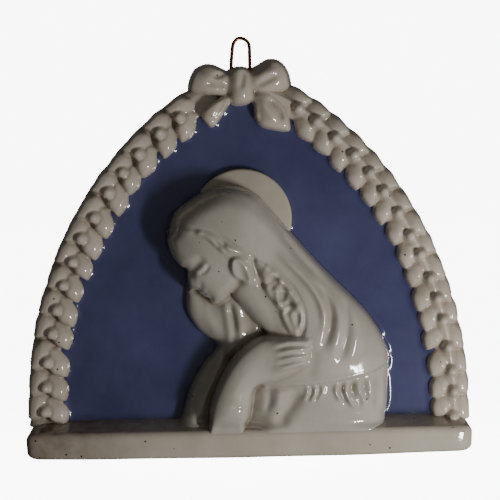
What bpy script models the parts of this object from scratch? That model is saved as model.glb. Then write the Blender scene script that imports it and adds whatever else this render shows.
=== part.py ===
"""A glazed earthenware wall plaque: a half-figure in relief under an arched garland, with a wire loop.

The front is carved as one sheet whose depth is a function of place: each form (leaf, berry, bow, halo,
veil, hand, ledge) adds its own depth. The sheet is closed by a flat back and cut to the plaque's outline.
Blender units are metres; the sizes below are millimetres, with x to the right and z up from the underside.
"""

import math
import random

import bmesh
import bpy
import numpy as np

MM = 0.001

# The ledge along the foot
LEDGE_WIDTH = 254.0
LEDGE_HEIGHT = 18.5
LEDGE_DEPTH = 36.0
LEDGE_DRAFT = 2.5
LEDGE_ROUND = 3.0

# The arch, a pointed oval on top of the ledge, a little wider than it
ARCH_OVERHANG = 2.0
ARCH_WIDTH = LEDGE_WIDTH + 2 * ARCH_OVERHANG
ARCH_RISE = 202.5
ARCH_SIDE_POWER = 1.5
ARCH_RISE_POWER = 2.1

# Depths from the flat back
SLAB_DEPTH = 12.0
RIM_DEPTH = 9.0
CREST_DEPTH = 18.0

# The garland that frames the arch, whose right and left sides are spaced a little differently
GARLAND_WIDTH = 19.0
RIGHT_LEAF_PITCH = 14.4
RIGHT_GARLAND_START = 14.7
RIGHT_OUTER_SHIFT = 5.0
RIGHT_INNER_SHIFT = -9.5
LEFT_LEAF_PITCH = 15.6
LEFT_GARLAND_START = 7.2
LEFT_OUTER_SHIFT = 3.5
LEFT_INNER_SHIFT = -0.5
LEAF_BULGE = 0.9
INNER_LEAF_LENGTH = 19.0
INNER_LEAF_WIDTH = 11.6
INNER_LEAF_THICKNESS = 6.0
INNER_LEAF_INSET = 17.0
INNER_LEAF_TURN = -33.0
INNER_LEAF_TILT = 1.3
OUTER_LEAF_LENGTH = 19.0
OUTER_LEAF_WIDTH = 12.0
OUTER_LEAF_THICKNESS = 4.6
OUTER_LEAF_INSET = 5.2
OUTER_LEAF_TURN = 26.0
OUTER_LEAF_TILT = 1.6
BERRY_RADIUS = 3.5
BERRY_INSET = 10.4
BERRY_RISE = 0.5
BARE_UNDER_BOW = 36.0
GARLAND_SEED = 7

# The bow, in hundredths of its own width from the arch's tip
BOW_WIDTH = 58.0
BOW_DEPTH = 24.0
TAIL_LEFT = [(-12, -26), (-30, -33), (-41, -43.5), (-38, -53.5), (-29.5, -58.5), (-20, -48), (-11.5, -34)]
TAIL_RIGHT = [
    (8, -27), (11, -39), (11, -49.5), (16, -57.5), (25.5, -61.5), (45.5, -64), (47.5, -53.5), (42, -38.5),
    (27, -24),
]
LOOP_LEFT = [
    (-12, -7.5), (-25, 2), (-35.5, 4.5), (-45.5, 0), (-51, -9.5), (-52.5, -20.5), (-42, -25.5),
    (-30.5, -27.5), (-12, -26.5),
]
LOOP_RIGHT = [
    (7.5, -4.5), (19, 4), (29, 8.5), (38.5, 5), (45.5, -5), (48, -20.5), (41, -26), (28, -27), (8, -24),
]
KNOT = [
    (-14, -4), (-8, 0.5), (-0.5, 1.4), (7, -2), (11, -16), (12.5, -26), (8.5, -35), (-1.5, -38), (-11, -36),
    (-14.5, -23),
]
RIBBON_SEAT = 7.0
KNOT_SEAT = 9.0
LEFT_TAIL_SEAT = 15.0
LEFT_TAIL_RISE = 7.0
RIGHT_TAIL_SEAT = 14.5
RIGHT_TAIL_RISE = 8.5

# The figure, in hundredths of its own height, right and up from the foot of its middle
FIGURE_HEIGHT = 134.0
FIGURE_OFFSET = 16.0
HALO_CENTRE = (-13.0, 87.0)
HALO_RADIUS = 21.3
HALO_RELIEF = 3.4
FACE_THIRD = 10.8
FACE_TURN = 38.0
BROW = (-39.0, 67.2)
BACK_OF_VEIL = [
    (-44.9, 79.2), (-44, 86.1), (-41.4, 91.1), (-36.7, 94.8), (-31.7, 98), (-26.6, 100.6), (-20.5, 102),
    (-13.6, 101.1), (-6.7, 97.8), (-1.5, 92.3), (8.3, 80.5), (21.2, 65.6), (35.7, 50.9), (41, 44.5),
    (45.6, 37.3), (49, 28.9), (49.4, 22),
]
FRONT_OF_VEIL = [
    (10.5, 38), (12, 42), (12.1, 48), (10.7, 52.8), (7.9, 58.6), (3.5, 63), (-2.2, 68.7), (-8, 71.9),
    (-12.9, 74.4), (-18.6, 79.2), (-23.9, 82.2), (-29, 83.6), (-34, 84.6), (-40, 85), (-45.5, 83),
]
HEM = [(50.2, 25.2), (46.7, 24.4), (38.1, 21.6), (31, 20.1), (21, 18.8), (9.6, 17.6), (-1.8, 17.1), (-6, 17)]
BODY_FRONT = [
    (48.9, 15), (48.4, 5), (46.5, -5), (45, -22), (-21, -22), (-20, 8), (-15, 20), (-8, 32), (-4, 40),
    (-6, 48), (-13, 57), (-24, 63), (-34, 68.5), (-42, 75),
]
FAR_VEIL = [
    (-37, 62), (-37.9, 54.1), (-37.7, 47.1), (-34.3, 40.7), (-29.8, 36.3), (-25.2, 33.1), (-24.1, 29.5),
    (-20.7, 26.3), (-13.6, 28), (-1, 36), (-4, 48), (-14.7, 56), (-28, 64),
]
THROAT_HOLLOW = [(-34, 58), (-29, 51), (-22, 48), (-13, 45), (-6, 40)]
NECK = [(-9, 60), (-2.6, 51), (6, 40)]
FAR_ARM = [
    (-22, 33.5), (-27.5, 28.5), (-31.5, 23.8), (-36, 16.5), (-39.1, 8.2), (-46, -20), (-28, -20), (-24, 10),
    (-18, 22),
]
NEAR_ARM = [
    (-30, -22), (-28.9, -0.8), (-28.2, 7.9), (-24.5, 18), (-18.6, 28), (-11.4, 35), (-4.2, 38.1), (5.8, 38.3),
    (12.9, 38), (15, 36.6), (14.7, 34.4), (14.2, 31), (12.7, 27), (5.4, 22.4), (-1.7, 18.9), (-8.8, 16),
    (-10.6, 9.5), (-11.7, 3), (-14, -2), (-16, -22),
]
FINGERS = [
    [(-3, 35), (5.6, 36.6), (12.7, 36.3)],
    [(-2, 31.8), (6.2, 33.4), (13.1, 33.5)],
    [(-2, 28.4), (6.2, 30.2), (12.5, 30.6)],
    [(-3, 24.6), (5, 26.8), (11, 28)],
]
FINGER_GAPS = [
    [(-2, 33.4), (5.6, 35), (13.6, 34.9)],
    [(-1, 30.2), (6.2, 31.8), (13.6, 32)],
    [(-1, 26.8), (6.2, 28.6), (12.6, 29.3)],
]

# The face in thirds, down from the brow and forward of it
PROFILE = [
    (-1.35, -0.42), (-1.0, -0.08), (-0.6, 0.06), (-0.25, 0.08), (0, 0.04), (0.17, -0.06), (0.45, 0.14),
    (0.75, 0.38), (0.9, 0.47), (1.0, 0.38), (1.04, 0.16), (1.14, 0.1), (1.24, 0.18), (1.33, 0.08),
    (1.43, 0.14), (1.55, 0.02), (1.65, -0.03), (1.8, 0.05), (1.94, 0.02), (2.05, -0.14), (2.1, -0.45),
    (2.02, -0.95), (1.88, -1.45), (1.6, -1.95), (1.2, -2.3), (0.5, -2.9), (-0.4, -2.9), (-1.3, -2.0),
]
FEATURES = [
    ([(0.22, -0.98), (0.28, -0.64), (0.34, -0.34)], 2.4, -1.0),
    ([(0.3, -0.86), (0.42, -0.6), (0.4, -0.34)], 1.3, 0.7),
    ([(0.44, -0.92), (0.56, -0.62), (0.5, -0.32)], 0.6, -0.5),
    ([(-0.02, -1.0), (-0.14, -0.55), (-0.08, -0.05)], 1.6, 0.35),
    ([(0.1, -0.06), (0.5, 0.06), (0.86, 0.18)], 1.9, 0.7),
    ([(0.84, -0.02), (0.95, 0.06)], 1.3, 0.6),
    ([(0.76, -0.22), (0.92, -0.22), (1.04, -0.12)], 0.9, -0.45),
    ([(1.22, 0.06), (1.21, -0.08), (1.26, -0.28)], 1.0, 0.35),
    ([(1.33, 0.04), (1.33, -0.14), (1.35, -0.34)], 0.6, -0.5),
    ([(1.43, 0.04), (1.44, -0.1), (1.42, -0.26)], 1.1, 0.35),
    ([(1.59, -0.04), (1.62, -0.24)], 1.3, -0.3),
    ([(1.84, -0.04), (1.88, -0.3)], 2.2, 0.4),
]

# The hair and the folds of the cloth: points, width and height of each
HAIR_EDGE = [
    (10, 36), (4, 42), (0.4, 51), (-3.9, 57), (-5.6, 61.5), (-9, 59.6), (-13, 60), (-18.4, 65.5), (-19.4, 72),
    (-21.6, 74.7), (-25.4, 78.2), (-29.3, 80.8), (-34, 82.4), (-41, 82.4),
]
EAR_LOCK = [
    (-18.2, 70), (-17.2, 72.2), (-14, 72.3), (-11.2, 69.5), (-9.3, 64.5), (-9.6, 61), (-12.2, 60.6),
    (-16, 63.2), (-18, 66.5),
]
LOCKS = [
    ([(-37, 82.6), (-32.5, 81.6), (-29.5, 82.2), (-25.5, 79.8), (-23.4, 76.6), (-19.6, 74.4)], 1.0, 1.7),
    ([(-33, 84), (-28, 83.4), (-24, 80.6), (-21, 77.2), (-16.4, 74.4)], 0.9, 1.4),
    ([(-27.6, 79), (-24.4, 76), (-21.4, 74.6), (-19.8, 71.4)], 0.8, 1.1),
    ([(-20.6, 78.4), (-17, 75.6), (-13, 74.2), (-9, 70.8)], 0.9, 1.4),
    ([(-8.6, 71.8), (-6, 70.6), (-3.6, 67.8), (-3.8, 64.2), (-2, 61.6)], 2.0, 2.0),
    ([(-3.6, 69.2), (-0.6, 66.8), (1.2, 64.4)], 1.4, 1.3),
    ([(-2.6, 63.4), (-0.8, 65.4), (1.6, 63.8), (2, 61)], 1.4, 1.7),
    ([(1.2, 62), (3.8, 61.4), (5.6, 59.2), (5.2, 56.6)], 1.5, 1.9),
    ([(-3.8, 61), (-3, 57.6), (-2.6, 54.2), (-0.6, 51.4)], 1.8, 1.3),
    ([(-0.6, 59.6), (1, 57), (1, 54.2), (2.6, 51.6)], 1.6, 1.6),
    ([(4.8, 57.8), (7.8, 55.4), (9, 51.8), (8.2, 48)], 1.6, 1.8),
    ([(-0.4, 53), (2.6, 51.2), (4.6, 48.8)], 1.4, 1.3),
    ([(9.6, 53.4), (11.2, 49), (11, 45), (9.8, 40.6)], 1.3, 1.9),
    ([(6.4, 49.4), (7.2, 45.6), (8.4, 41.6), (8.6, 38)], 1.3, 1.5),
    ([(2.8, 49.6), (4, 45.4), (5.8, 41.6), (6.2, 38.4)], 1.4, 1.2),
]
HAIR_HOLLOWS = [
    ([(-31, 82.8), (-26.4, 81.4), (-22.2, 77.6), (-18.6, 75.6)], 0.7, -1.0),
    ([(-9, 72.8), (-7.8, 67), (-6, 62), (-4.8, 57.6)], 1.0, -1.6),
    ([(3, 57.4), (3.2, 55), (3.4, 53)], 1.3, -1.6),
    ([(5.8, 53.6), (6.2, 51.4)], 0.9, -1.0),
]
VEIL_FOLDS = [
    ([(-11.3, 100.6), (-3.7, 94), (1.5, 85.6), (6.5, 76.7), (13, 68.6), (21, 60), (26.7, 51.8)], 1.5, -1.3),
    ([(-3.6, 98), (4, 89), (10, 79.6), (17, 70.6), (24.6, 62)], 2.4, 0.8),
    ([(-18.2, 97), (-9.6, 90.6), (-2, 82.7), (5.6, 73.8), (13.2, 64.8), (19, 57.5), (23.4, 50)], 1.9, 0.7),
    ([(-1, 77), (4.5, 71), (11.6, 63.6), (16.6, 57.2), (19.6, 50.4), (20.2, 43.4), (18, 37.6)], 1.5, 1.9),
    ([(14, 64.6), (19, 58), (22.6, 51), (23, 44), (21, 36.7), (17, 30.5)], 1.5, -1.5),
    ([(22.6, 58), (26, 51), (26.6, 43), (24.4, 34), (20.6, 27)], 1.8, 1.1),
    ([(25.6, 57), (29.3, 50), (30, 41.5), (28.2, 32), (25, 24.8)], 1.6, -1.1),
    ([(30, 54), (33.4, 47), (34, 39), (32, 30.2), (29, 23.6)], 2.2, 0.8),
    ([(34.6, 50), (37.6, 43.4), (38.2, 36), (36.4, 28.6)], 2.0, -0.5),
    ([(14.5, 36), (16, 31), (15, 25), (12, 20)], 2.4, -0.6),
]
HEM_ROLL = ([(50, 24.8), (46.7, 24.2), (38.1, 21.5), (31, 20), (21, 18.7), (9.6, 17.4), (-3, 16.8)], 0.9, 0.9)
BODICE_FOLDS = [
    ([(9, 17.5), (8, 12.4), (5.2, 7.6), (2.2, 3.2), (1, -4)], 3.2, -2.4),
    ([(1, 17), (0.8, 12), (-0.8, 7)], 1.4, 0.6),
    ([(-2.6, 17), (-2.8, 11), (-4.4, 5)], 1.2, -0.6),
    ([(-5.6, 16.5), (-5.8, 10), (-7, 3)], 1.3, 0.5),
    ([(12.5, 17.6), (12.9, 14.3), (10.7, 10.6)], 0.9, 0.8),
    ([(14, 17.8), (14.6, 14.4), (12.4, 10)], 0.6, -0.8),
    ([(15.5, 17.9), (16.1, 14.6), (13.7, 10)], 0.9, 0.9),
    ([(17.2, 18), (17.7, 14.6), (15.2, 10)], 0.6, -0.8),
    ([(18.9, 18.3), (19.3, 15), (16.6, 11)], 0.9, 0.6),
    ([(25.8, 18.6), (24.9, 14.8), (27.5, 9.6)], 0.9, 1.5),
    ([(27.8, 18.8), (26.9, 14.8), (29.4, 9)], 0.8, -1.2),
    ([(30.2, 19.2), (28.9, 14.7), (31, 10), (34, 6.4)], 1.0, 1.8),
    ([(32.4, 19.6), (31.6, 15), (33.6, 10.6)], 0.8, -1.4),
    ([(34.8, 20), (34.5, 15.3), (36.6, 11.4), (36.8, 6)], 1.0, 1.5),
    ([(36.8, 20.4), (36.9, 14.6), (38.4, 9)], 0.8, -1.0),
    ([(39.2, 20.8), (39.7, 13.7), (38.9, 6)], 1.0, 0.9),
    ([(42.4, 22), (42.8, 13), (42.2, 3)], 1.2, -0.8),
    ([(45.4, 22.4), (45.7, 12.9), (45.4, 4)], 0.9, 0.9),
]
FAR_FOLDS = [
    ([(-22, 55), (-20.5, 47), (-19.5, 38), (-20, 30)], 1.6, 0.8),
    ([(-19, 53), (-18, 46), (-17, 38)], 1.1, -0.9),
    ([(-17, 54), (-15.5, 47), (-14.5, 40), (-16, 32)], 1.5, 0.9),
    ([(-28, 56), (-29, 48), (-26, 40), (-22, 34)], 2.4, 0.5),
    ([(-10, 48), (-8, 43), (-8, 38)], 1.4, 0.7),
]

# The wire loop behind the bow's knot
WIRE_DIAMETER = 1.8
WIRE_SPACING = 10.8
WIRE_RISE = 17.5
WIRE_OFFSET = -0.6
WIRE_DEPTH = 6.0
WIRE_INSERTED = 12.0
WIRE_CLEARANCE = 0.3

# Where the wall mount sits above the underside
MOUNT_HEIGHT = 115.6

# Mesh fineness
GRID_STEP = 1.1
GRID_MARGIN = 6.0
TRIANGLES = 7800

ARCH_TIP = LEDGE_HEIGHT + ARCH_RISE


def smooth_curve(points, closed=False, steps=5):
    """Points on a smooth curve through the given ones."""
    given = np.array(points, float)
    count = len(given)
    curve = []
    for i in range(count if closed else count - 1):
        before = given[(i - 1) % count] if closed else given[max(i - 1, 0)]
        start = given[i]
        end = given[(i + 1) % count]
        after = given[(i + 2) % count] if closed else given[min(i + 2, count - 1)]
        for t in np.arange(steps) / steps:
            linear = (end - before) * t
            square = (2 * before - 5 * start + 4 * end - after) * t * t
            cube = (3 * start - before - 3 * end + after) * t ** 3
            curve.append(start + 0.5 * (linear + square + cube))
    if not closed:
        curve.append(given[-1])
    return np.array(curve)


def distance_to(curve, x, z, closed=False):
    """Distance of each point to the curve, and how far along it the nearest place lies, from 0 to 1."""
    starts = curve if closed else curve[:-1]
    ends = np.roll(curve, -1, 0) if closed else curve[1:]
    lengths = np.hypot(*(ends - starts).T)
    run = np.concatenate([[0.0], np.cumsum(lengths)])
    nearest = np.full(x.shape, 1e9)
    along = np.zeros(x.shape)
    for start, end, length, before in zip(starts, ends, lengths, run):
        if length == 0:
            continue
        step = (end - start) / length
        t = np.clip((x - start[0]) * step[0] + (z - start[1]) * step[1], 0, length)
        square = (x - start[0] - t * step[0]) ** 2 + (z - start[1] - t * step[1]) ** 2
        closer = square < nearest
        nearest = np.where(closer, square, nearest)
        along = np.where(closer, (before + t) / run[-1], along)
    return np.sqrt(nearest), along


def depth_inside(curve, x, z):
    """Distance to a closed curve, positive inside it."""
    distance, _ = distance_to(curve, x, z, True)
    inside = np.zeros(x.shape, bool)
    for start, end in zip(curve, np.roll(curve, -1, 0)):
        if start[1] == end[1]:
            continue
        crossing = start[0] + (end[0] - start[0]) * (z - start[1]) / (end[1] - start[1])
        inside ^= ((start[1] > z) != (end[1] > z)) & (x < crossing)
    return np.where(inside, distance, -distance)


def round_edge(distance, width):
    """A quarter round, from 0 at the edge to 1 at the width."""
    share = np.clip(distance / width, 0, 1)
    return np.sqrt(1 - (1 - share) ** 2)


def ease(value):
    """A smooth step from 0 to 1."""
    value = np.clip(value, 0, 1)
    return value * value * (3 - 2 * value)


def dome(x, z, centre, radii, turn=0.0):
    """The height of an ellipsoid, from 0 at its rim to 1 at its middle."""
    c = math.cos(math.radians(turn))
    s = math.sin(math.radians(turn))
    u = ((x - centre[0]) * c + (z - centre[1]) * s) / radii[0]
    v = ((z - centre[1]) * c - (x - centre[0]) * s) / radii[1]
    return np.sqrt(np.clip(1 - u * u - v * v, 0, 1))


def fold(x, z, points, width, height, taper=0.3):
    """A rounded ridge along a curve, or a groove where the height is negative, fading at both ends."""
    distance, along = distance_to(smooth_curve(points), x, z)
    return height * ease(np.minimum(along, 1 - along) / taper) * np.exp(-(distance / width) ** 2)


def add_folds(x, z, folds, taper=0.3):
    """The sum of some folds."""
    return sum(fold(x, z, points, width, height, taper) for points, width, height in folds)


def limb(x, z, points, start_radius, end_radius):
    """The height of a round limb over its middle line, where it is, and how far along it."""
    distance, along = distance_to(smooth_curve(points), x, z)
    radius = start_radius + (end_radius - start_radius) * along
    return np.sqrt(np.clip(radius ** 2 - distance ** 2, 0, None)), distance < radius, along


def blend_up(a, b, softness):
    """The deeper of two depths, with a fillet where they cross."""
    share = np.clip(0.5 + 0.5 * (a - b) / softness, 0, 1)
    return b + (a - b) * share + softness * share * (1 - share)


def arch_side(count=200):
    """The right side of the arch from the ledge to the tip, in even steps, and the run to each point."""
    angles = np.linspace(0, math.pi / 2, count)
    x = ARCH_WIDTH / 2 * np.clip(np.cos(angles), 0, 1) ** (2 / ARCH_SIDE_POWER)
    z = LEDGE_HEIGHT + ARCH_RISE * np.sin(angles) ** (2 / ARCH_RISE_POWER)
    run = np.concatenate([[0.0], np.cumsum(np.hypot(np.diff(x), np.diff(z)))])
    even = np.linspace(0, run[-1], count)
    return np.stack([np.interp(even, run, x), np.interp(even, run, z)], 1), even


def place_on_arch(side, run, at, inset):
    """A place on the right side, moved inwards, with the directions down along the arch and outwards."""
    def point(distance):
        below = max(-distance, 0)
        return np.array([np.interp(distance, run, side[:, 0]), np.interp(distance, run, side[:, 1]) - below])

    down = point(at - 1) - point(at + 1)
    down = down / np.hypot(*down)
    outwards = np.array([-down[1], down[0]])
    return point(at) - outwards * inset, down, outwards


def leaf(x, z, centre, direction, length, width, thickness):
    """Depth of a plump pointed leaf over its own base, and how far down the leaf each point is."""
    u = ((x - centre[0]) * direction[0] + (z - centre[1]) * direction[1]) / (length / 2)
    v = ((z - centre[1]) * direction[0] - (x - centre[0]) * direction[1]) / (width / 2)
    root = np.clip(1 - ((u - 0.1) / 1.1) ** 2, 0, 1) ** 0.5
    tip = np.clip(1 - (np.clip(u - 0.1, 0, 1) / 0.9) ** 1.7, 0, 1) ** 0.95
    half_width = np.where(u < 0.1, root, tip)
    on = (np.abs(u) < 1) & (np.abs(v) < half_width)
    across = np.where(on, v / np.maximum(half_width, 1e-6), 1)
    return thickness * np.sqrt(np.clip(1 - across ** 2, 0, 1)) * half_width ** 0.6, on, u


def carve_leaf(x, z, depth, inset, place, direction, grow, outer):
    """One leaf, whose root lies under the leaf above it."""
    if outer:
        length, width = OUTER_LEAF_LENGTH * grow, OUTER_LEAF_WIDTH * grow
        thickness, tilt = OUTER_LEAF_THICKNESS, OUTER_LEAF_TILT
        heights = [RIM_DEPTH - 2, RIM_DEPTH + 1.5, RIM_DEPTH + 4.5, CREST_DEPTH - 3]
        seat = np.interp(inset, [0, 2, 6, 11], heights)
    else:
        length, width = INNER_LEAF_LENGTH * grow, INNER_LEAF_WIDTH * grow
        thickness, tilt = INNER_LEAF_THICKNESS, INNER_LEAF_TILT
        heights = [CREST_DEPTH - 3, CREST_DEPTH - 3, SLAB_DEPTH + 0.8, SLAB_DEPTH - 0.5]
        seat = np.interp(inset, [6, 12, 18, 26], heights)
    rise, on, down = leaf(x, z, place, direction, length, width, thickness)
    return np.where(on, np.maximum(depth, seat + rise + tilt * down), depth)


def carve_berry(x, z, depth, place, grow):
    """One berry, with a groove round it."""
    radius = BERRY_RADIUS * grow
    rise = radius * dome(x, z, place, (radius, radius))
    groove = 0.8 * np.exp(-((np.hypot(x - place[0], z - place[1]) - radius) / 0.7) ** 2)
    return np.where(rise > 0, np.maximum(depth, CREST_DEPTH + BERRY_RISE + 1.3 * rise), depth - groove)


def carve_garland_side(x, z, depth, inset, mirror, pitch, start, outer_shift, inner_shift):
    """The leaves and berries of the right side (1) or the left side (-1)."""
    side, run = arch_side()
    jitter = random.Random(GARLAND_SEED + mirror)
    reach = max(INNER_LEAF_LENGTH, OUTER_LEAF_LENGTH)
    kinds = (
        ("outer", outer_shift, OUTER_LEAF_INSET, OUTER_LEAF_TURN),
        ("inner", inner_shift, INNER_LEAF_INSET, INNER_LEAF_TURN),
        ("berry", 0.0, BERRY_INSET, 0.0),
    )
    for i in range(-1, int((run[-1] - BARE_UNDER_BOW - start) / pitch) + 1):
        at = start + i * pitch + jitter.uniform(-1.4, 1.4)
        grow = 1 + jitter.uniform(-0.08, 0.08)
        for kind, shift, inwards, turned in kinds:
            inwards += jitter.uniform(-0.5, 0.5)
            turn = math.radians(turned + jitter.uniform(-6, 6))
            place, down, outwards = place_on_arch(side, run, at + shift, inwards)
            direction = (down * math.cos(turn) + outwards * math.sin(turn)) * (mirror, 1)
            place = place * (mirror, 1)
            near = (np.hypot(x - place[0], z - place[1]) < reach) & (inset > 0)
            nx, nz, old = x[near], z[near], depth[near]
            if kind == "berry":
                depth[near] = carve_berry(nx, nz, old, place, grow)
            else:
                depth[near] = carve_leaf(nx, nz, old, inset[near], place, direction, grow, kind == "outer")
    return depth


def carve_garland(x, z, depth, inset):
    """The band round the arch with its outer leaves, inner leaves and berries."""
    across = np.clip(inset / GARLAND_WIDTH, 0, 1)
    swell = np.interp(across, [0, 0.12, 0.3, 0.5, 0.75, 1.0], [0, 0.4, 0.62, 0.66, 0.5, 0.0])
    band = RIM_DEPTH + (CREST_DEPTH - RIM_DEPTH) * swell
    inner_band = np.where(inset < GARLAND_WIDTH / 2, band, np.maximum(band, depth))
    depth = np.where(inset < GARLAND_WIDTH, inner_band, depth)
    sides = (
        (1, RIGHT_LEAF_PITCH, RIGHT_GARLAND_START, RIGHT_OUTER_SHIFT, RIGHT_INNER_SHIFT),
        (-1, LEFT_LEAF_PITCH, LEFT_GARLAND_START, LEFT_OUTER_SHIFT, LEFT_INNER_SHIFT),
    )
    for mirror, pitch, start, outer_shift, inner_shift in sides:
        depth = carve_garland_side(x, z, depth, inset, mirror, pitch, start, outer_shift, inner_shift)
    return depth


def carve_bow(x, z, depth):
    """Two tails, two loops and the knot between them, from the lowest to the highest."""
    unit = BOW_WIDTH / 100
    u = x / unit
    w = (z - ARCH_TIP) / unit

    def ribbon(depth, outline, base, rise, mound, folds):
        inside = depth_inside(smooth_curve(outline, True), u, w)
        form = base + rise * (0.4 * round_edge(inside, 5) + 0.6 * dome(u, w, *mound)) + add_folds(u, w, folds)
        return np.where(inside > 0, blend_up(np.maximum(depth, 0.0), form, 0.6), depth)

    loop_rise = BOW_DEPTH - RIBBON_SEAT
    depth = ribbon(depth, TAIL_LEFT, LEFT_TAIL_SEAT, LEFT_TAIL_RISE, ((-26, -43), (20, 13), 48), [
        ([(-16, -32), (-23, -44), (-30, -54)], 2.0, -1.8),
        ([(-14, -33), (-19, -43), (-25, -53)], 1.6, 0.8),
    ])
    depth = ribbon(depth, TAIL_RIGHT, RIGHT_TAIL_SEAT, RIGHT_TAIL_RISE, ((28, -45), (26, 17), -45), [
        ([(16, -30), (23, -44), (35, -58)], 2.6, 1.6),
        ([(24, -32), (33, -44), (41, -57)], 4.5, -3.0),
        ([(14, -37), (16.5, -47), (19, -56)], 2.6, -1.6),
    ])
    depth = ribbon(depth, LOOP_LEFT, RIBBON_SEAT, loop_rise, ((-30, -12), (26, 20), 8), [
        ([(-19, -20), (-29, -17), (-41, -11)], 2.8, -2.0),
        ([(-15, -6), (-22, -7.5), (-29, -12.5)], 2.4, -1.3),
        ([(-20, -14), (-30, -11), (-40, -4)], 3.0, 0.9),
    ])
    depth = ribbon(depth, LOOP_RIGHT, RIBBON_SEAT, loop_rise, ((27, -10), (26, 20), 12), [
        ([(12, -9), (22, -2), (33, 4)], 2.6, -2.6),
        ([(17, -18), (27, -16), (37, -12)], 2.0, -1.3),
        ([(14, -13), (25, -8), (37, -1)], 2.6, 1.0),
    ])
    return ribbon(depth, KNOT, KNOT_SEAT, BOW_DEPTH + 1 - KNOT_SEAT, ((-1, -18), (15, 25), 0), [
        ([(1, -3), (1, -12), (-1, -24)], 2.4, -1.6),
        ([(8, -10), (8, -22), (6, -31)], 2.0, -0.8),
        ([(-8, -6), (-9, -18), (-8, -30)], 2.2, -0.5),
    ])


def face_point(down, forward):
    """A place on the face, in thirds of the face down from the brow and forward of it."""
    turn = math.radians(FACE_TURN)
    along = down * FACE_THIRD
    out = forward * FACE_THIRD
    across = along * math.sin(turn) - out * math.cos(turn)
    return BROW[0] + across, BROW[1] - along * math.cos(turn) - out * math.sin(turn)


def carve_face(u, w, form):
    """The face with its lowered eye, the side of the nose, the lips and the chin."""
    inside = depth_inside(smooth_curve([face_point(*spot) for spot in PROFILE], True, 4), u, w)
    cheek = 8.5 + 13.5 * dome(u, w, face_point(0.45, -1.45), (19.5, 28), FACE_TURN)
    face = cheek * (0.6 * round_edge(inside, 1.4) + 0.4 * round_edge(inside, 6.0))
    for spots, width, height in FEATURES:
        face = face + fold(u, w, [face_point(*spot) for spot in spots], width, height)
    return np.where(inside > 0, blend_up(form, face, 2.4), form)


def carve_hair(u, w, form):
    """Locks from the forehead over the ear and down the neck, inside the front of the veil."""
    inside = depth_inside(smooth_curve(FRONT_OF_VEIL[::-1] + HAIR_EDGE, True, 4), u, w)
    hair = (0.4 + add_folds(u, w, LOCKS, 0.15)) * round_edge(inside, 2.0)
    form = np.where(inside > 0, form + hair, form) + add_folds(u, w, HAIR_HOLLOWS, 0.2)
    lock = depth_inside(smooth_curve(EAR_LOCK, True), u, w)
    return form + (2.3 * round_edge(lock, 2.2) - 1.1 * round_edge(lock - 1.6, 2.0)) * (lock > 0)


def carve_far_side(u, w, form):
    """The far fall of the veil and the far arm, in the lowest relief."""
    inside = depth_inside(smooth_curve(FAR_VEIL, True), u, w)
    veil = (6.4 + 4.2 * ease((u + 32) / 20)) * round_edge(inside, 7) + add_folds(u, w, FAR_FOLDS)
    form = np.where(inside > 0, np.maximum(form, veil), form)
    inside = depth_inside(smooth_curve(FAR_ARM, True), u, w)
    arm = 8.5 * round_edge(inside, 6.5) + fold(u, w, [(-22, 24), (-29, 14), (-36, 0), (-38, -4)], 2.4, 1.2)
    form = np.where(inside > 0, blend_up(form, arm, 0.4), form)
    return form - 1.4 * (form > 0) * np.exp(-(distance_to(smooth_curve(THROAT_HOLLOW), u, w)[0] / 3.5) ** 2)


def carve_body(u, w, form):
    """The head under its veil, the fall of the veil, the back and the bodice, with their folds."""
    head = 6 + 16.5 * dome(u, w, (-21.5, 79), (26, 28.5), FACE_TURN)
    spine, _ = distance_to(np.array([(-12.0, 82.0), (20.0, 40.0)]), u, w)
    fall = 19 * np.sqrt(np.clip(1 - (spine / 29) ** 2, 0, 1))
    back = 19 * dome(u, w, (18, 22), (38, 42), -30)
    chest = 17.6 - 7.0 * ease((2 - u) / 13)
    waist = chest * np.sqrt(1 - np.clip((u - 12) / 42, 0, 1) ** 3) * (1 - np.clip((w - 14) / 20, 0, 1))
    mass = blend_up(blend_up(head, fall, 5), blend_up(back, waist, 3), 4)
    inside = depth_inside(smooth_curve(BACK_OF_VEIL + BODY_FRONT, True), u, w)
    mass = np.maximum(mass, 4.5) * (0.25 * round_edge(inside, 1.5) + 0.75 * round_edge(inside, 10))
    form = np.where(inside > 0, np.maximum(form, mass), form)
    neck, on_neck, _ = limb(u, w, NECK, 10, 8.2)
    form = np.where(on_neck, blend_up(form, 9.5 + 0.82 * neck, 3), form)
    form = carve_face(u, w, form)
    form = carve_hair(u, w, form)
    edge = BACK_OF_VEIL[:-1] + HEM + [(-9, 30), (4, 34)] + FRONT_OF_VEIL
    veil = depth_inside(smooth_curve(edge, True, 4), u, w)
    thickness = 0.5 + 0.8 * ease((u + 32) / 20)
    drape = thickness * round_edge(veil, 1.2) + add_folds(u, w, VEIL_FOLDS) * round_edge(veil, 3)
    form = np.where(veil > 0, form + drape + fold(u, w, *HEM_ROLL, 0.1), form)
    below = (inside > 0) & (veil <= 0) & (w < 24) & (u > -12)
    return np.where(below, form + add_folds(u, w, BODICE_FOLDS), form)


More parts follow.
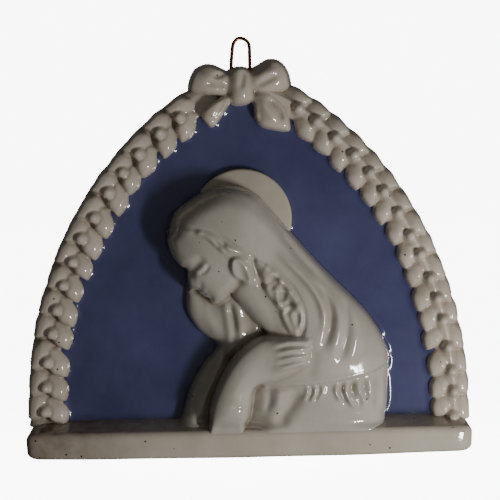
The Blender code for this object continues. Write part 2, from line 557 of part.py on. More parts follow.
def carve_near_arm(u, w, form):
    """The sleeve that stands on the ledge, the forearm, and the hand laid on the breast."""
    inside = depth_inside(smooth_curve(NEAR_ARM, True), u, w)
    plump = 9.6 - 4.6 * ease((u + 4) / 15) - 1.2 * ease((9 - w) / 10)
    seat = 12.4 + 5.6 * ease((u + 5) / 15)
    arm = seat + plump * (0.3 * round_edge(inside, 2.0) + 0.7 * round_edge(inside, 9.0))
    arm = arm + fold(u, w, [(-20, 9.6), (-15.4, 9.4), (-10.4, 10.9)], 0.8, -0.6)
    for finger in FINGERS:
        rise, _, along = limb(u, w, finger, 2.0, 1.8)
        arm = arm + 0.9 * ease(along / 0.5) * rise
    for gap in FINGER_GAPS:
        distance, along = distance_to(smooth_curve(gap), u, w)
        arm = arm - 1.7 * ease(along / 0.4) * np.exp(-(distance / 0.65) ** 2)
    return np.where(inside > 0, blend_up(form, arm, 0.8), form)


def carve_figure(x, z, depth):
    """The halo and the half-figure, standing out of the ground."""
    unit = FIGURE_HEIGHT / 100
    near = (np.abs(x - FIGURE_OFFSET) < FIGURE_HEIGHT * 0.55) & (z < LEDGE_HEIGHT + FIGURE_HEIGHT * 1.12)
    u = (x[near] - FIGURE_OFFSET) / unit
    w = (z[near] - LEDGE_HEIGHT) / unit
    ring = HALO_RADIUS - np.hypot(u - HALO_CENTRE[0], w - HALO_CENTRE[1])
    form = HALO_RELIEF * round_edge(ring, 1.4)
    form = carve_far_side(u, w, form)
    form = carve_body(u, w, form)
    form = carve_near_arm(u, w, form)
    front = LEDGE_HEIGHT - LEDGE_DRAFT
    limit = LEDGE_DEPTH - 1.5 + 1.2 * (z[near] - front)
    standing = np.maximum(depth[near], np.minimum(SLAB_DEPTH + form * unit, limit))
    depth[near] = np.where(form > 0, standing, depth[near])
    return depth


def carve_ledge(x, z, depth):
    """The ledge: a front face, rounded edges, and a top that falls a little towards the front."""
    front = LEDGE_HEIGHT - LEDGE_DRAFT
    slope = (z - front) / LEDGE_DRAFT * (LEDGE_DEPTH - SLAB_DEPTH)
    edge = round_edge(np.minimum(np.minimum(LEDGE_WIDTH / 2 - np.abs(x), z), front - z + 1), LEDGE_ROUND)
    face = LEDGE_DEPTH - LEDGE_ROUND * (1 - edge)
    ledge = np.where(z < front, face, np.minimum(face, LEDGE_DEPTH - 1 - slope))
    return np.maximum(depth, np.where(np.abs(x) < LEDGE_WIDTH / 2, ledge, 0))


def relief(x, z):
    """Depth of the plaque's front over its flat back, at each place."""
    side, _ = arch_side()
    foot = np.array([[side[0, 0], -ARCH_RISE]])
    arch = np.concatenate([foot, side, side[::-1] * (-1, 1), foot * (-1, 1)])
    inset = depth_inside(arch, x, z)
    depth = np.full(x.shape, SLAB_DEPTH)
    depth = carve_garland(x, z, depth, inset)
    depth = carve_bow(x, z, depth)
    depth = carve_figure(x, z, depth)
    return carve_ledge(x, z, depth)


def collection(name):
    """A new collection in the scene."""
    made = bpy.data.collections.new(name)
    bpy.context.scene.collection.children.link(made)
    return made


def add_object(name, data, home):
    """An object for the given mesh or curve, in its collection."""
    made = bpy.data.objects.new(name, data)
    home.objects.link(made)
    return made


def hide(cutter):
    """Marks a cutter, which is not part of the plaque."""
    cutter.hide_render = True
    cutter.display_type = "WIRE"
    return cutter


def material(name, colour, roughness, metallic=0.0):
    """A plain surface material."""
    made = bpy.data.materials.new(name)
    made.use_nodes = True
    shader = made.node_tree.nodes["Principled BSDF"]
    shader.inputs["Base Color"].default_value = (*colour, 1)
    shader.inputs["Roughness"].default_value = roughness
    shader.inputs["Metallic"].default_value = metallic
    made.diffuse_color = (*colour, 1)
    return made


def evaluated_mesh(source):
    """The mesh that an object shows with its modifiers."""
    graph = bpy.context.evaluated_depsgraph_get()
    return bpy.data.meshes.new_from_object(source.evaluated_get(graph))


def relief_block(home):
    """The carved front, simplified to the triangle budget and closed by the flat back."""
    left = -ARCH_WIDTH / 2 - GRID_MARGIN
    low = -GRID_MARGIN
    columns = round((ARCH_WIDTH + 2 * GRID_MARGIN) / GRID_STEP)
    rows = round((ARCH_TIP + BOW_WIDTH * 0.1 + 2 * GRID_MARGIN) / GRID_STEP)
    sheet = bmesh.new()
    bmesh.ops.create_grid(sheet, x_segments=columns, y_segments=rows, size=0.5)
    share = np.array([vertex.co[:2] for vertex in sheet.verts]) + 0.5
    x = left + share[:, 0] * columns * GRID_STEP
    z = low + share[:, 1] * rows * GRID_STEP
    depth = relief(x, z)
    for vertex, px, pz, d in zip(sheet.verts, x, z, depth):
        vertex.co = (px * MM, -d * MM, (pz - MOUNT_HEIGHT) * MM)
    axes = {"use_axis_x": True, "use_axis_y": True, "use_axis_z": True}
    bmesh.ops.smooth_vert(sheet, verts=sheet.verts, factor=0.5, **axes)
    mesh = bpy.data.meshes.new("relief")
    sheet.to_mesh(mesh)
    sheet.free()
    block = add_object("relief", mesh, home)
    simpler = block.modifiers.new("simpler", "DECIMATE")
    simpler.ratio = TRIANGLES / (2 * columns * rows)
    front = evaluated_mesh(block)
    bpy.data.objects.remove(block)

    solid = bmesh.new()
    solid.from_mesh(front)
    rim = [edge for edge in solid.edges if edge.is_boundary]
    skirt = bmesh.ops.extrude_edge_only(solid, edges=rim)["geom"]
    for vertex in (item for item in skirt if isinstance(item, bmesh.types.BMVert)):
        vertex.co.y = 0
    bottom = [item for item in skirt if isinstance(item, bmesh.types.BMEdge)]
    bmesh.ops.holes_fill(solid, edges=bottom)
    bmesh.ops.triangulate(solid, faces=[face for face in solid.faces if len(face.verts) > 4])
    bmesh.ops.recalc_face_normals(solid, faces=solid.faces)
    mesh = bpy.data.meshes.new("plaque")
    solid.to_mesh(mesh)
    solid.free()
    return add_object("plaque", mesh, home)


def prism(name, outline, home):
    """A flat outline in x and z, thick enough to pass through the whole plaque from the back."""
    curve = bpy.data.curves.new(name, "CURVE")
    curve.dimensions = "2D"
    curve.fill_mode = "BOTH"
    curve.extrude = LEDGE_DEPTH * MM
    spline = curve.splines.new("POLY")
    spline.points.add(len(outline) - 1)
    for point, (px, pz) in zip(spline.points, outline):
        point.co = (px * MM, (pz - MOUNT_HEIGHT) * MM, 0, 1)
    spline.use_cyclic_u = True
    flat = add_object(name, curve, home)
    mesh = evaluated_mesh(flat)
    bpy.data.objects.remove(flat)
    solid = bmesh.new()
    solid.from_mesh(mesh)
    bmesh.ops.remove_doubles(solid, verts=solid.verts, dist=0.00001)
    bmesh.ops.recalc_face_normals(solid, faces=solid.faces)
    for vertex in solid.verts:
        across, up, out = vertex.co
        vertex.co = (across, -out - LEDGE_DEPTH * MM, up)
    solid.to_mesh(mesh)
    solid.free()
    return hide(add_object(name, mesh, home))


def bulged_side(pitch, start):
    """The right side of the arch with a shallow bulge at each outer leaf."""
    side, run = arch_side(150)
    wave = 0.5 - 0.5 * np.cos((run - start) / pitch * 2 * math.pi)
    bulge = LEAF_BULGE * wave * np.clip(run / pitch, 0, 1)
    along = np.gradient(side, axis=0)
    along = along / np.hypot(along[:, 0], along[:, 1])[:, None]
    points = side + np.stack([along[:, 1], -along[:, 0]], 1) * bulge[:, None]
    points[-1] = side[-1]
    return points


def arch_outline():
    """The arch from the right foot over the tip to the left foot."""
    right = bulged_side(RIGHT_LEAF_PITCH, RIGHT_GARLAND_START)
    left = bulged_side(LEFT_LEAF_PITCH, LEFT_GARLAND_START) * (-1, 1)
    foot = ARCH_WIDTH / 2
    return np.concatenate([[(foot, LEDGE_HEIGHT / 2)], right, left[-2::-1], [(-foot, LEDGE_HEIGHT / 2)]])


def bow_outline(points):
    """One ribbon of the bow as an outline in millimetres."""
    return smooth_curve(points, True, 3) * BOW_WIDTH / 100 + (0, ARCH_TIP)


def boolean(target, name, operation, other):
    """A Boolean modifier with the exact solver."""
    made = target.modifiers.new(name, "BOOLEAN")
    made.operation = operation
    made.solver = "EXACT"
    made.object = other


def plaque(parts, cutters):
    """The relief cut to the outline of arch, ledge and bow, with two holes for the wire."""
    half = LEDGE_WIDTH / 2
    outline = prism("outline", [(-half, 0), (half, 0), (half, LEDGE_HEIGHT), (-half, LEDGE_HEIGHT)], cutters)
    for name, points in (
        ("arch_cutter", arch_outline()),
        ("knot_cutter", bow_outline(KNOT)),
        ("left_loop_cutter", bow_outline(LOOP_LEFT)),
        ("right_loop_cutter", bow_outline(LOOP_RIGHT)),
    ):
        boolean(outline, name, "UNION", prism(name, points, cutters))
    solid = relief_block(parts)
    boolean(solid, "outline", "INTERSECT", outline)
    radius = WIRE_DIAMETER / 2 + WIRE_CLEARANCE
    depth = WIRE_INSERTED + WIRE_CLEARANCE
    above = BOW_WIDTH * 0.1
    for side in (-1, 1):
        drill = bmesh.new()
        radii = {"radius1": radius * MM, "radius2": radius * MM}
        bmesh.ops.create_cone(drill, cap_ends=True, segments=12, depth=(depth + above) * MM, **radii)
        mesh = bpy.data.meshes.new("wire_hole")
        drill.to_mesh(mesh)
        drill.free()
        hole = hide(add_object("wire_hole", mesh, cutters))
        middle = ARCH_TIP - depth + (depth + above) / 2 - MOUNT_HEIGHT
        hole.location = ((WIRE_OFFSET + side * WIRE_SPACING / 2) * MM, -WIRE_DEPTH * MM, middle * MM)
        boolean(solid, f"wire_hole_{side}", "DIFFERENCE", hole)
    solid.data.materials.append(material("white_glaze", (0.62, 0.58, 0.5), 0.15))
    return solid


def hanging_wire(parts):
    """A bent wire: two straight legs joined by a half round."""
    curve = bpy.data.curves.new("hanging_wire", "CURVE")
    curve.dimensions = "3D"
    curve.bevel_depth = WIRE_DIAMETER / 2 * MM
    curve.bevel_resolution = 3
    curve.use_fill_caps = True
    radius = WIRE_SPACING / 2
    foot = ARCH_TIP - WIRE_INSERTED
    shoulder = ARCH_TIP + WIRE_RISE - radius
    right_leg = [(radius, foot), (radius, ARCH_TIP), (radius, shoulder)]
    turns = 12
    angles = [math.pi * i / turns for i in range(1, turns)]
    bend = [(radius * math.cos(angle), shoulder + radius * math.sin(angle)) for angle in angles]
    left_leg = [(-px, pz) for px, pz in reversed(right_leg)]
    points = right_leg + bend + left_leg
    spline = curve.splines.new("POLY")
    spline.points.add(len(points) - 1)
    for point, (px, pz) in zip(spline.points, points):
        point.co = ((WIRE_OFFSET + px) * MM, -WIRE_DEPTH * MM, (pz - MOUNT_HEIGHT) * MM, 1)
    wire = add_object("hanging_wire", curve, parts)
    wire.data.materials.append(material("copper_wire", (0.25, 0.09, 0.05), 0.35, 1.0))
    return wire


def main():
    for old in list(bpy.data.objects):
        bpy.data.objects.remove(old)
    parts = collection("wall_plaque")
    cutters = collection("cutters")
    plaque(parts, cutters)
    hanging_wire(parts)


main()
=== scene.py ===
# %% [markdown]
# # A glazed earthenware wall plaque
# The real thing is pressed from a mould: a slab of clay with a garland, a bow, a ledge and a veiled
# half-figure in relief, dipped in a thick white glaze, with a cobalt blue one painted on the flat ground. A
# copper wire loop hangs it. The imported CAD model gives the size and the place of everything, so the lesson
# starts by loading it.

import math
import random

import bmesh
import bpy
import numpy as np
from mathutils import Matrix, Vector


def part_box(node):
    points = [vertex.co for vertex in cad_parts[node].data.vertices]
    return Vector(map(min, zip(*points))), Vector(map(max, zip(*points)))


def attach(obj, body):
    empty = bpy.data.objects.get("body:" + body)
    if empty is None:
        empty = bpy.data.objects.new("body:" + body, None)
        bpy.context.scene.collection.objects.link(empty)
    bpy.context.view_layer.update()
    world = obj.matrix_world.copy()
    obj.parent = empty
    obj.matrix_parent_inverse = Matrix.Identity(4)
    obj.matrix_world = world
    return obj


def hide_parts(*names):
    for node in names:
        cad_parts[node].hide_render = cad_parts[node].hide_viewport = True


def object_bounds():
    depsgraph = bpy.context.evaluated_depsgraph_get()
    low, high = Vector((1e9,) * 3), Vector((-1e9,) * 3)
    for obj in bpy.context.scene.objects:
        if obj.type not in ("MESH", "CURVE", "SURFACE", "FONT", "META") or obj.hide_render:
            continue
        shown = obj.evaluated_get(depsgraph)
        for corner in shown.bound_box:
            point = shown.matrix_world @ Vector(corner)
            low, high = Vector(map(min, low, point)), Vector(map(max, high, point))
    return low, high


MM = 0.001
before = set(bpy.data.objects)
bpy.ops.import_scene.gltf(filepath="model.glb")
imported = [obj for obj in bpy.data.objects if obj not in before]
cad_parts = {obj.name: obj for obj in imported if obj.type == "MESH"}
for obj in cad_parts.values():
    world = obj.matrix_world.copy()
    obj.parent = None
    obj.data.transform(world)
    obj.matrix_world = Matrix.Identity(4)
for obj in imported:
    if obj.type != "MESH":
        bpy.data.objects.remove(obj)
cad_low, cad_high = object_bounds()
body_low, body_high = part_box("plaque")
print(len(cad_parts), "CAD nodes")
print("plaque, millimetres:", [round(value / MM, 1) for value in body_high - body_low])

# %% [markdown]
# The sizes are the real object's, in millimetres. x runs to the right and z up from the underside, as a
# potter would measure it, and `place` turns them into the frame's metres. Depth is counted from the flat
# back.

# %% Sizes
UNDERSIDE = body_low.z / MM
LEDGE_WIDTH = 254.0
LEDGE_HEIGHT = 18.5
LEDGE_DEPTH = 36.0
LEDGE_DRAFT = 2.5
ARCH_WIDTH = 258.0
ARCH_RISE = 202.5
ARCH_TIP = LEDGE_HEIGHT + ARCH_RISE
ARCH_SIDE_POWER = 1.5
ARCH_RISE_POWER = 2.1
SLAB_DEPTH = 12.0
RIM_DEPTH = 9.0
CREST_DEPTH = 18.0
BACK_GAP = 0.8


def place(x, depth, z):
    """A point of the frame, in metres, from a place on the front and its depth from the back."""
    return Vector((x * MM, -depth * MM, (z + UNDERSIDE) * MM))


print("the arch's tip, metres:", [round(value, 4) for value in place(0, SLAB_DEPTH, ARCH_TIP)])

# %% [markdown]
# ## Soft forms from simple curves
# A modeller in clay works with edges and folds, so the lesson needs only a few tools: a smooth curve through
# some points, the distance to it, a rounded edge, a dome, a fold and a limb. Each works on whole arrays of
# points at once, which keeps a fine surface quick to compute.

# %% A smooth curve
def smooth_curve(points, closed=False, steps=6):
    """Points on a smooth curve through the given ones."""
    given = np.array(points, float)
    count = len(given)
    curve = []
    for i in range(count if closed else count - 1):
        before = given[(i - 1) % count] if closed else given[max(i - 1, 0)]
        start = given[i]
        end = given[(i + 1) % count]
        after = given[(i + 2) % count] if closed else given[min(i + 2, count - 1)]
        for t in np.arange(steps) / steps:
            linear = (end - before) * t
            square = (2 * before - 5 * start + 4 * end - after) * t * t
            cube = (3 * start - before - 3 * end + after) * t ** 3
            curve.append(start + 0.5 * (linear + square + cube))
    if not closed:
        curve.append(given[-1])
    return np.array(curve)


print("a smooth curve through 3 points has", len(smooth_curve([(0, 0), (1, 1), (2, 0)])), "points")


# %% Distances
def distance_to(curve, x, z, closed=False):
    """Distance of each point to the curve, and how far along it the nearest place lies, from 0 to 1."""
    starts = curve if closed else curve[:-1]
    ends = np.roll(curve, -1, 0) if closed else curve[1:]
    lengths = np.hypot(*(ends - starts).T)
    run = np.concatenate([[0.0], np.cumsum(lengths)])
    nearest = np.full(x.shape, 1e9)
    along = np.zeros(x.shape)
    for start, end, length, before in zip(starts, ends, lengths, run):
        if length == 0:
            continue
        step = (end - start) / length
        t = np.clip((x - start[0]) * step[0] + (z - start[1]) * step[1], 0, length)
        square = (x - start[0] - t * step[0]) ** 2 + (z - start[1] - t * step[1]) ** 2
        closer = square < nearest
        nearest = np.where(closer, square, nearest)
        along = np.where(closer, (before + t) / run[-1], along)
    return np.sqrt(nearest), along


def depth_inside(curve, x, z):
    """Distance to a closed curve, positive inside it."""
    distance, _ = distance_to(curve, x, z, True)
    inside = np.zeros(x.shape, bool)
    for start, end in zip(curve, np.roll(curve, -1, 0)):
        if start[1] == end[1]:
            continue
        crossing = start[0] + (end[0] - start[0]) * (z - start[1]) / (end[1] - start[1])
        inside ^= ((start[1] > z) != (end[1] > z)) & (x < crossing)
    return np.where(inside, distance, -distance)


square = np.array([(0, 0), (2, 0), (2, 2), (0, 2)], float)
middle_of_square = np.array([1.0])
print("inside a square of side 2:", depth_inside(square, middle_of_square, middle_of_square)[0])


# %% Rounded edges and domes
def round_edge(distance, width):
    """A quarter round, from 0 at the edge to 1 at the width."""
    share = np.clip(distance / width, 0, 1)
    return np.sqrt(1 - (1 - share) ** 2)


def ease(value):
    """A smooth step from 0 to 1."""
    share = np.clip(value, 0, 1)
    return share * share * (3 - 2 * share)


def dome(x, z, centre, radii, turn=0.0):
    """The height of an ellipsoid, from 0 at its rim to 1 at its middle."""
    c = math.cos(math.radians(turn))
    s = math.sin(math.radians(turn))
    u = ((x - centre[0]) * c + (z - centre[1]) * s) / radii[0]
    v = ((z - centre[1]) * c - (x - centre[0]) * s) / radii[1]
    return np.sqrt(np.clip(1 - u * u - v * v, 0, 1))


print("half way in, a rounded edge has risen to", round(float(round_edge(0.5, 1.0)), 2))


# %% Folds, limbs and fillets
def fold(x, z, points, width, height, taper=0.3):
    """A rounded ridge along a curve, or a groove where the height is negative, fading at both ends."""
    curve = smooth_curve(points)
    low = curve.min(0) - 3 * width
    high = curve.max(0) + 3 * width
    near = (x > low[0]) & (x < high[0]) & (z > low[1]) & (z < high[1])
    distance, along = distance_to(curve, x[near], z[near])
    fade = ease(np.minimum(along, 1 - along) / taper)
    made = np.zeros(x.shape)
    made[near] = height * fade * np.exp(-(distance / width) ** 2)
    return made


def add_folds(x, z, folds, taper=0.3):
    """The sum of some folds."""
    return sum(fold(x, z, points, width, height, taper) for points, width, height in folds)


def limb(x, z, points, start_radius, end_radius):
    """The height of a round limb over its middle line, where it is, and how far along it."""
    distance, along = distance_to(smooth_curve(points), x, z)
    radius = start_radius + (end_radius - start_radius) * along
    return np.sqrt(np.clip(radius ** 2 - distance ** 2, 0, None)), distance < radius, along


def blend_up(a, b, softness):
    """The deeper of two depths, with a fillet where they cross."""
    share = np.clip(0.5 + 0.5 * (a - b) / softness, 0, 1)
    return b + (a - b) * share + softness * share * (1 - share)


print("two equal depths blend", float(blend_up(0.0, 0.0, 4.0)), "higher with a softness of 4")

# %% [markdown]
# ## A sheet of clay
# A relief is a sheet whose every point has one depth. `bmesh.ops.create_grid` makes the sheet, the carving
# functions give the depths, and a slight blur rounds every edge and crease the way half a millimetre of
# melted glaze does. The blur also tells how deep each crease is, which the glaze material uses for a brown
# tint there: painted shade, with some real dirt.

# %% A round brush
def blur(values, cells):
    """Three passes of a box blur over a grid of values, close to a round brush that wide."""
    half = max(int(round(cells)), 1)
    for _ in range(3):
        for axis in (0, 1):
            first = np.repeat(np.take(values, [0], axis), half + 1, axis)
            last = np.repeat(np.take(values, [-1], axis), half, axis)
            total = np.cumsum(np.concatenate([first, values, last], axis), axis)
            size = values.shape[axis]
            upper = np.take(total, range(2 * half + 1, 2 * half + 1 + size), axis)
            lower = np.take(total, range(0, size), axis)
            values = (upper - lower) / (2 * half + 1)
    return values


print("a single point of 1 is blurred to", round(float(blur(np.pad([[1.0]], 6), 1).max()), 3))


# %% A finished piece
def finished(name, shape, smooth=True):
    """An object from a bmesh, smooth shaded, riding on the plaque's one body."""
    mesh = bpy.data.meshes.new(name)
    shape.to_mesh(mesh)
    shape.free()
    made = bpy.data.objects.new(name, mesh)
    bpy.context.scene.collection.objects.link(made)
    if smooth:
        mesh.shade_smooth()
    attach(made, "root")
    print(f"{name}: {sum(len(p.vertices) - 2 for p in mesh.polygons)} triangles")
    return made


# %% [markdown]
# The grid's rim is closed from behind with flat triangles. Its edges are marked sharp, so that the shading of
# the walls doesn't run over the flat back.

# %% A closed sheet
def clay_sheet(name, x, z, depth, keep=None, softening=3, attributes=None):
    """A closed solid from grids of places and depths: cells that aren't kept go, and the back is filled."""
    rows, columns = x.shape
    sheet = bmesh.new()
    bmesh.ops.create_grid(sheet, x_segments=columns - 1, y_segments=rows - 1, size=0.5)
    places = np.stack([x.ravel() * MM, -depth.ravel() * MM, (z.ravel() + UNDERSIDE) * MM], 1)
    for vertex, co in zip(sheet.verts, places):
        vertex.co = co
    for key, values in (attributes or {}).items():
        layer = sheet.verts.layers.float.new(key)
        for vertex, value in zip(sheet.verts, values.ravel()):
            vertex[layer] = value
    if keep is not None:
        unwanted = [vertex for vertex, stay in zip(sheet.verts, keep.ravel()) if not stay]
        bmesh.ops.delete(sheet, geom=unwanted, context="VERTS")
    inner = [vertex for vertex in sheet.verts if not vertex.is_boundary]
    for _ in range(softening):
        bmesh.ops.smooth_vert(
            sheet, verts=inner, factor=0.5, use_axis_x=True, use_axis_y=True, use_axis_z=True,
        )
    edges = [edge for edge in sheet.edges if edge.is_boundary]
    for edge in edges:
        edge.smooth = False
    bmesh.ops.triangle_fill(sheet, edges=edges, use_beauty=False, use_dissolve=False)
    bmesh.ops.recalc_face_normals(sheet, faces=sheet.faces)
    return finished(name, sheet)


# %% [markdown]
# ## The pointed arch
# The outline is half of a superellipse: wide shoulders low down and a blunt point at the top. Both exponents
# come from the plaque's own sides. The same line, moved inwards, carries the garland and the blue ground.

# %% The arch's line
def arch_side(count=240):
    """The right side of the arch from the ledge to the tip, in even steps, and the run to each point."""
    angles = np.linspace(0, math.pi / 2, count)
    x = ARCH_WIDTH / 2 * np.clip(np.cos(angles), 0, 1) ** (2 / ARCH_SIDE_POWER)
    z = LEDGE_HEIGHT + ARCH_RISE * np.sin(angles) ** (2 / ARCH_RISE_POWER)
    run = np.concatenate([[0.0], np.cumsum(np.hypot(np.diff(x), np.diff(z)))])
    even = np.linspace(0, run[-1], count)
    return np.stack([np.interp(even, run, x), np.interp(even, run, z)], 1), even


SIDE, RUN = arch_side()
print("the arch's side runs", round(float(RUN[-1])), "mm from the ledge to the tip")


# %% Places along and inside the arch
def arch_frame(at):
    """Points on the right side at each run, with the directions down along the arch and outwards."""
    def point(run):
        beyond = np.clip(-run, 0, None)
        return np.stack([np.interp(run, RUN, SIDE[:, 0]), np.interp(run, RUN, SIDE[:, 1]) - beyond], -1)

    at = np.asarray(at, float)
    down = point(at - 1) - point(at + 1)
    down = down / np.hypot(down[..., 0], down[..., 1])[..., None]
    return point(at), down, np.stack([-down[..., 1], down[..., 0]], -1)


def arch_inset(x, z):
    """How far inside the arch each point is."""
    foot = np.array([[SIDE[0, 0], -ARCH_RISE]])
    arch = np.concatenate([foot, SIDE[::3], SIDE[::-3] * (-1, 1), foot * (-1, 1)])
    return depth_inside(arch, x, z)


print("mid-plaque, millimetres inside the arch:", arch_inset(np.array([0.0]), np.array([100.0])).round())


# %% [markdown]
# ## Two glazes on one piece
# The carved pieces stand in the blue ground, and its glaze laps a little up the foot of every form. Each
# sheet carries two numbers for the glaze: `white`, which is 0 where the blue covers it, and a second, mostly
# the depth of a crease, which tints the glaze brown there: painted shade, with some real dirt.

# %% Where the white begins
BLUE_LAP = 0.2
LAP_BLUR = 0.7
CREASE_SHADE_BRUSH = 2.5
EDGE_BRUSH = 0.4
CREASE_BRUSH = 1.6


def white_share(depth, lap=BLUE_LAP, softness=LAP_BLUR):
    """1 where the white glaze covers a form and 0 where the blue laps over its foot."""
    return ease((depth - SLAB_DEPTH - lap) / softness)


def deepened(depth, step, most):
    """The same depths with their creases cut deeper, by half of what a round brush would fill."""
    return depth - 0.5 * np.clip(blur(depth, CREASE_BRUSH / step) - depth, 0, most)


print("share of white half a millimetre above the ground:", round(float(white_share(SLAB_DEPTH + 0.5)), 2))


# %% [markdown]
# ## The garland
# Each turn of the garland has a plump outer leaf, a berry and a plump inner leaf, all hanging down from the
# bow. Real ones are pressed one over the next, so each leaf is a low cushion with a pointed tip, tilted so
# that its tip stands over the next root. A little seeded jitter keeps the row from looking machined, and the
# two sides differ, because each was pressed by hand.

# %% Leaves and berries
GARLAND_WIDTH = 19.0
GARLAND_SEED = 7
BARE_UNDER_BOW = 36.0
BERRY_RADIUS = 3.5
BERRY_INSET = 10.4
BERRY_PLUMP = 1.3
LEAF_LIP = 0.6
OUTER_LEAF = {
    "length": 19.0, "width": 12.0, "thickness": 4.0, "inset": 5.2, "turn": 26.0, "tilt": 2.8,
    "base": ([0, 2, 6, 11], [RIM_DEPTH + 1.0, RIM_DEPTH + 5.0, RIM_DEPTH + 6.4, CREST_DEPTH - 2.4]),
}
INNER_LEAF = {
    "length": 19.0, "width": 11.6, "thickness": 6.0, "inset": 17.0, "turn": -33.0, "tilt": 1.3,
    "base": ([6, 12, 18, 26], [CREST_DEPTH - 2.5, CREST_DEPTH - 2.5, SLAB_DEPTH + 0.8, SLAB_DEPTH - 0.5]),
}
RIGHT = {"pitch": 14.4, "start": 14.7, "outer": 5.0, "inner": -9.5, "berry_seat": 2.4, "crest": (1.32, 1.1)}
LEFT = {"pitch": 15.6, "start": 7.2, "outer": 3.5, "inner": -0.5, "berry_seat": 0.3, "crest": (0.5, 0.5)}


def leaf_form(x, z, centre, direction, size, grow):
    """Depth of a plump pointed leaf over its own base, where it is, and how far down it each point is."""
    u = ((x - centre[0]) * direction[0] + (z - centre[1]) * direction[1]) / (size["length"] * grow / 2)
    v = ((z - centre[1]) * direction[0] - (x - centre[0]) * direction[1]) / (size["width"] * grow / 2)
    root = np.clip(1 - ((u - 0.1) / 1.1) ** 2, 0, 1) ** 0.5
    tip = np.clip(1 - (np.clip(u - 0.1, 0, 1) / 0.9) ** 1.7, 0, 1) ** 0.95
    half_width = np.where(u < 0.1, root, tip)
    on = (np.abs(u) < 1) & (np.abs(v) < half_width)
    across = np.where(on, v / np.maximum(half_width, 1e-6), 1)
    plump = size["thickness"] * half_width ** 0.6 * (0.4 + 0.6 * ease((u + 1) / 1.1))
    return plump * np.sqrt(np.clip(1 - across ** 2, 0, 1)), on, u


def hung(at, inset, turn, jitter):
    """Where something hangs on the garland and which way it points, each a little off the rule."""
    middle, down, outwards = arch_frame(at)
    middle = middle - outwards * (inset + jitter.uniform(-0.5, 0.5))
    turn = math.radians(turn + jitter.uniform(-6, 6))
    return middle, down * math.cos(turn) + outwards * math.sin(turn)


print("a leaf hangs every", RIGHT["pitch"], "mm on the right and every", LEFT["pitch"], "mm on the left")


# %% The garland's depths
def garland_depth(x, z, inset, mirror):
    """Depths of one side of the garland, on the grid that is bent along the arch."""
    side = RIGHT if mirror == 1 else LEFT
    share = np.clip(inset / GARLAND_WIDTH, 0, 1)
    swell = np.interp(share, [0, 0.12, 0.3, 0.48, 0.66, 0.85, 1.0], [0, 0.3, 0.5, *side["crest"], 0.6, 0.0])
    depth = RIM_DEPTH + (CREST_DEPTH - RIM_DEPTH) * swell
    depth = np.where(inset > GARLAND_WIDTH - 1, SLAB_DEPTH - 2, depth)
    jitter = random.Random(GARLAND_SEED + mirror)
    count = int((RUN[-1] - BARE_UNDER_BOW - side["start"]) / side["pitch"]) + 1
    for i in range(-1, count):
        at = side["start"] + i * side["pitch"] + jitter.uniform(-1.4, 1.4)
        grow = 1 + jitter.uniform(-0.08, 0.08)
        for size, shift in ((OUTER_LEAF, side["outer"]), (INNER_LEAF, side["inner"])):
            middle, direction = hung(at + shift, size["inset"], size["turn"], jitter)
            near = np.hypot(x - middle[0], z - middle[1]) < size["length"]
            rise, on, u = leaf_form(x[near], z[near], middle, direction, size, grow)
            top = np.interp(inset[near], *size["base"]) + rise + LEAF_LIP + size["tilt"] * u
            depth[near] = np.where(on, np.maximum(depth[near], top), depth[near])
        middle, _ = hung(at, BERRY_INSET, 0.0, jitter)
        away = np.hypot(x - middle[0], z - middle[1])
        radius = BERRY_RADIUS * grow
        rise = radius * dome(x, z, middle, (radius, radius))
        groove = 0.6 * np.exp(-((away - radius) / 0.7) ** 2)
        berry = np.maximum(depth, CREST_DEPTH + side["berry_seat"] + BERRY_PLUMP * rise)
        depth = np.where(rise > 0, berry, depth - groove)
    return depth


# %% [markdown]
# The sheet for one side is a grid bent along the arch, so the plaque's outer edge is one clean line of
# vertices. The grid's first columns all start on that edge, and are let down in steps to form the outer wall.

# %% One side of the garland
CARVING_STEP = 0.42
GARLAND_REACH = 28.0
WALL_COLUMNS = 14
WALL_TUCK = 1.2
WALL_STAIN = 0.6
LEAF_BULGE = 0.9
# The cap on the brown in the deepest creases, which is painted shade with some real dirt.
DEEPEST_SHADE_AND_STAIN = 1.2


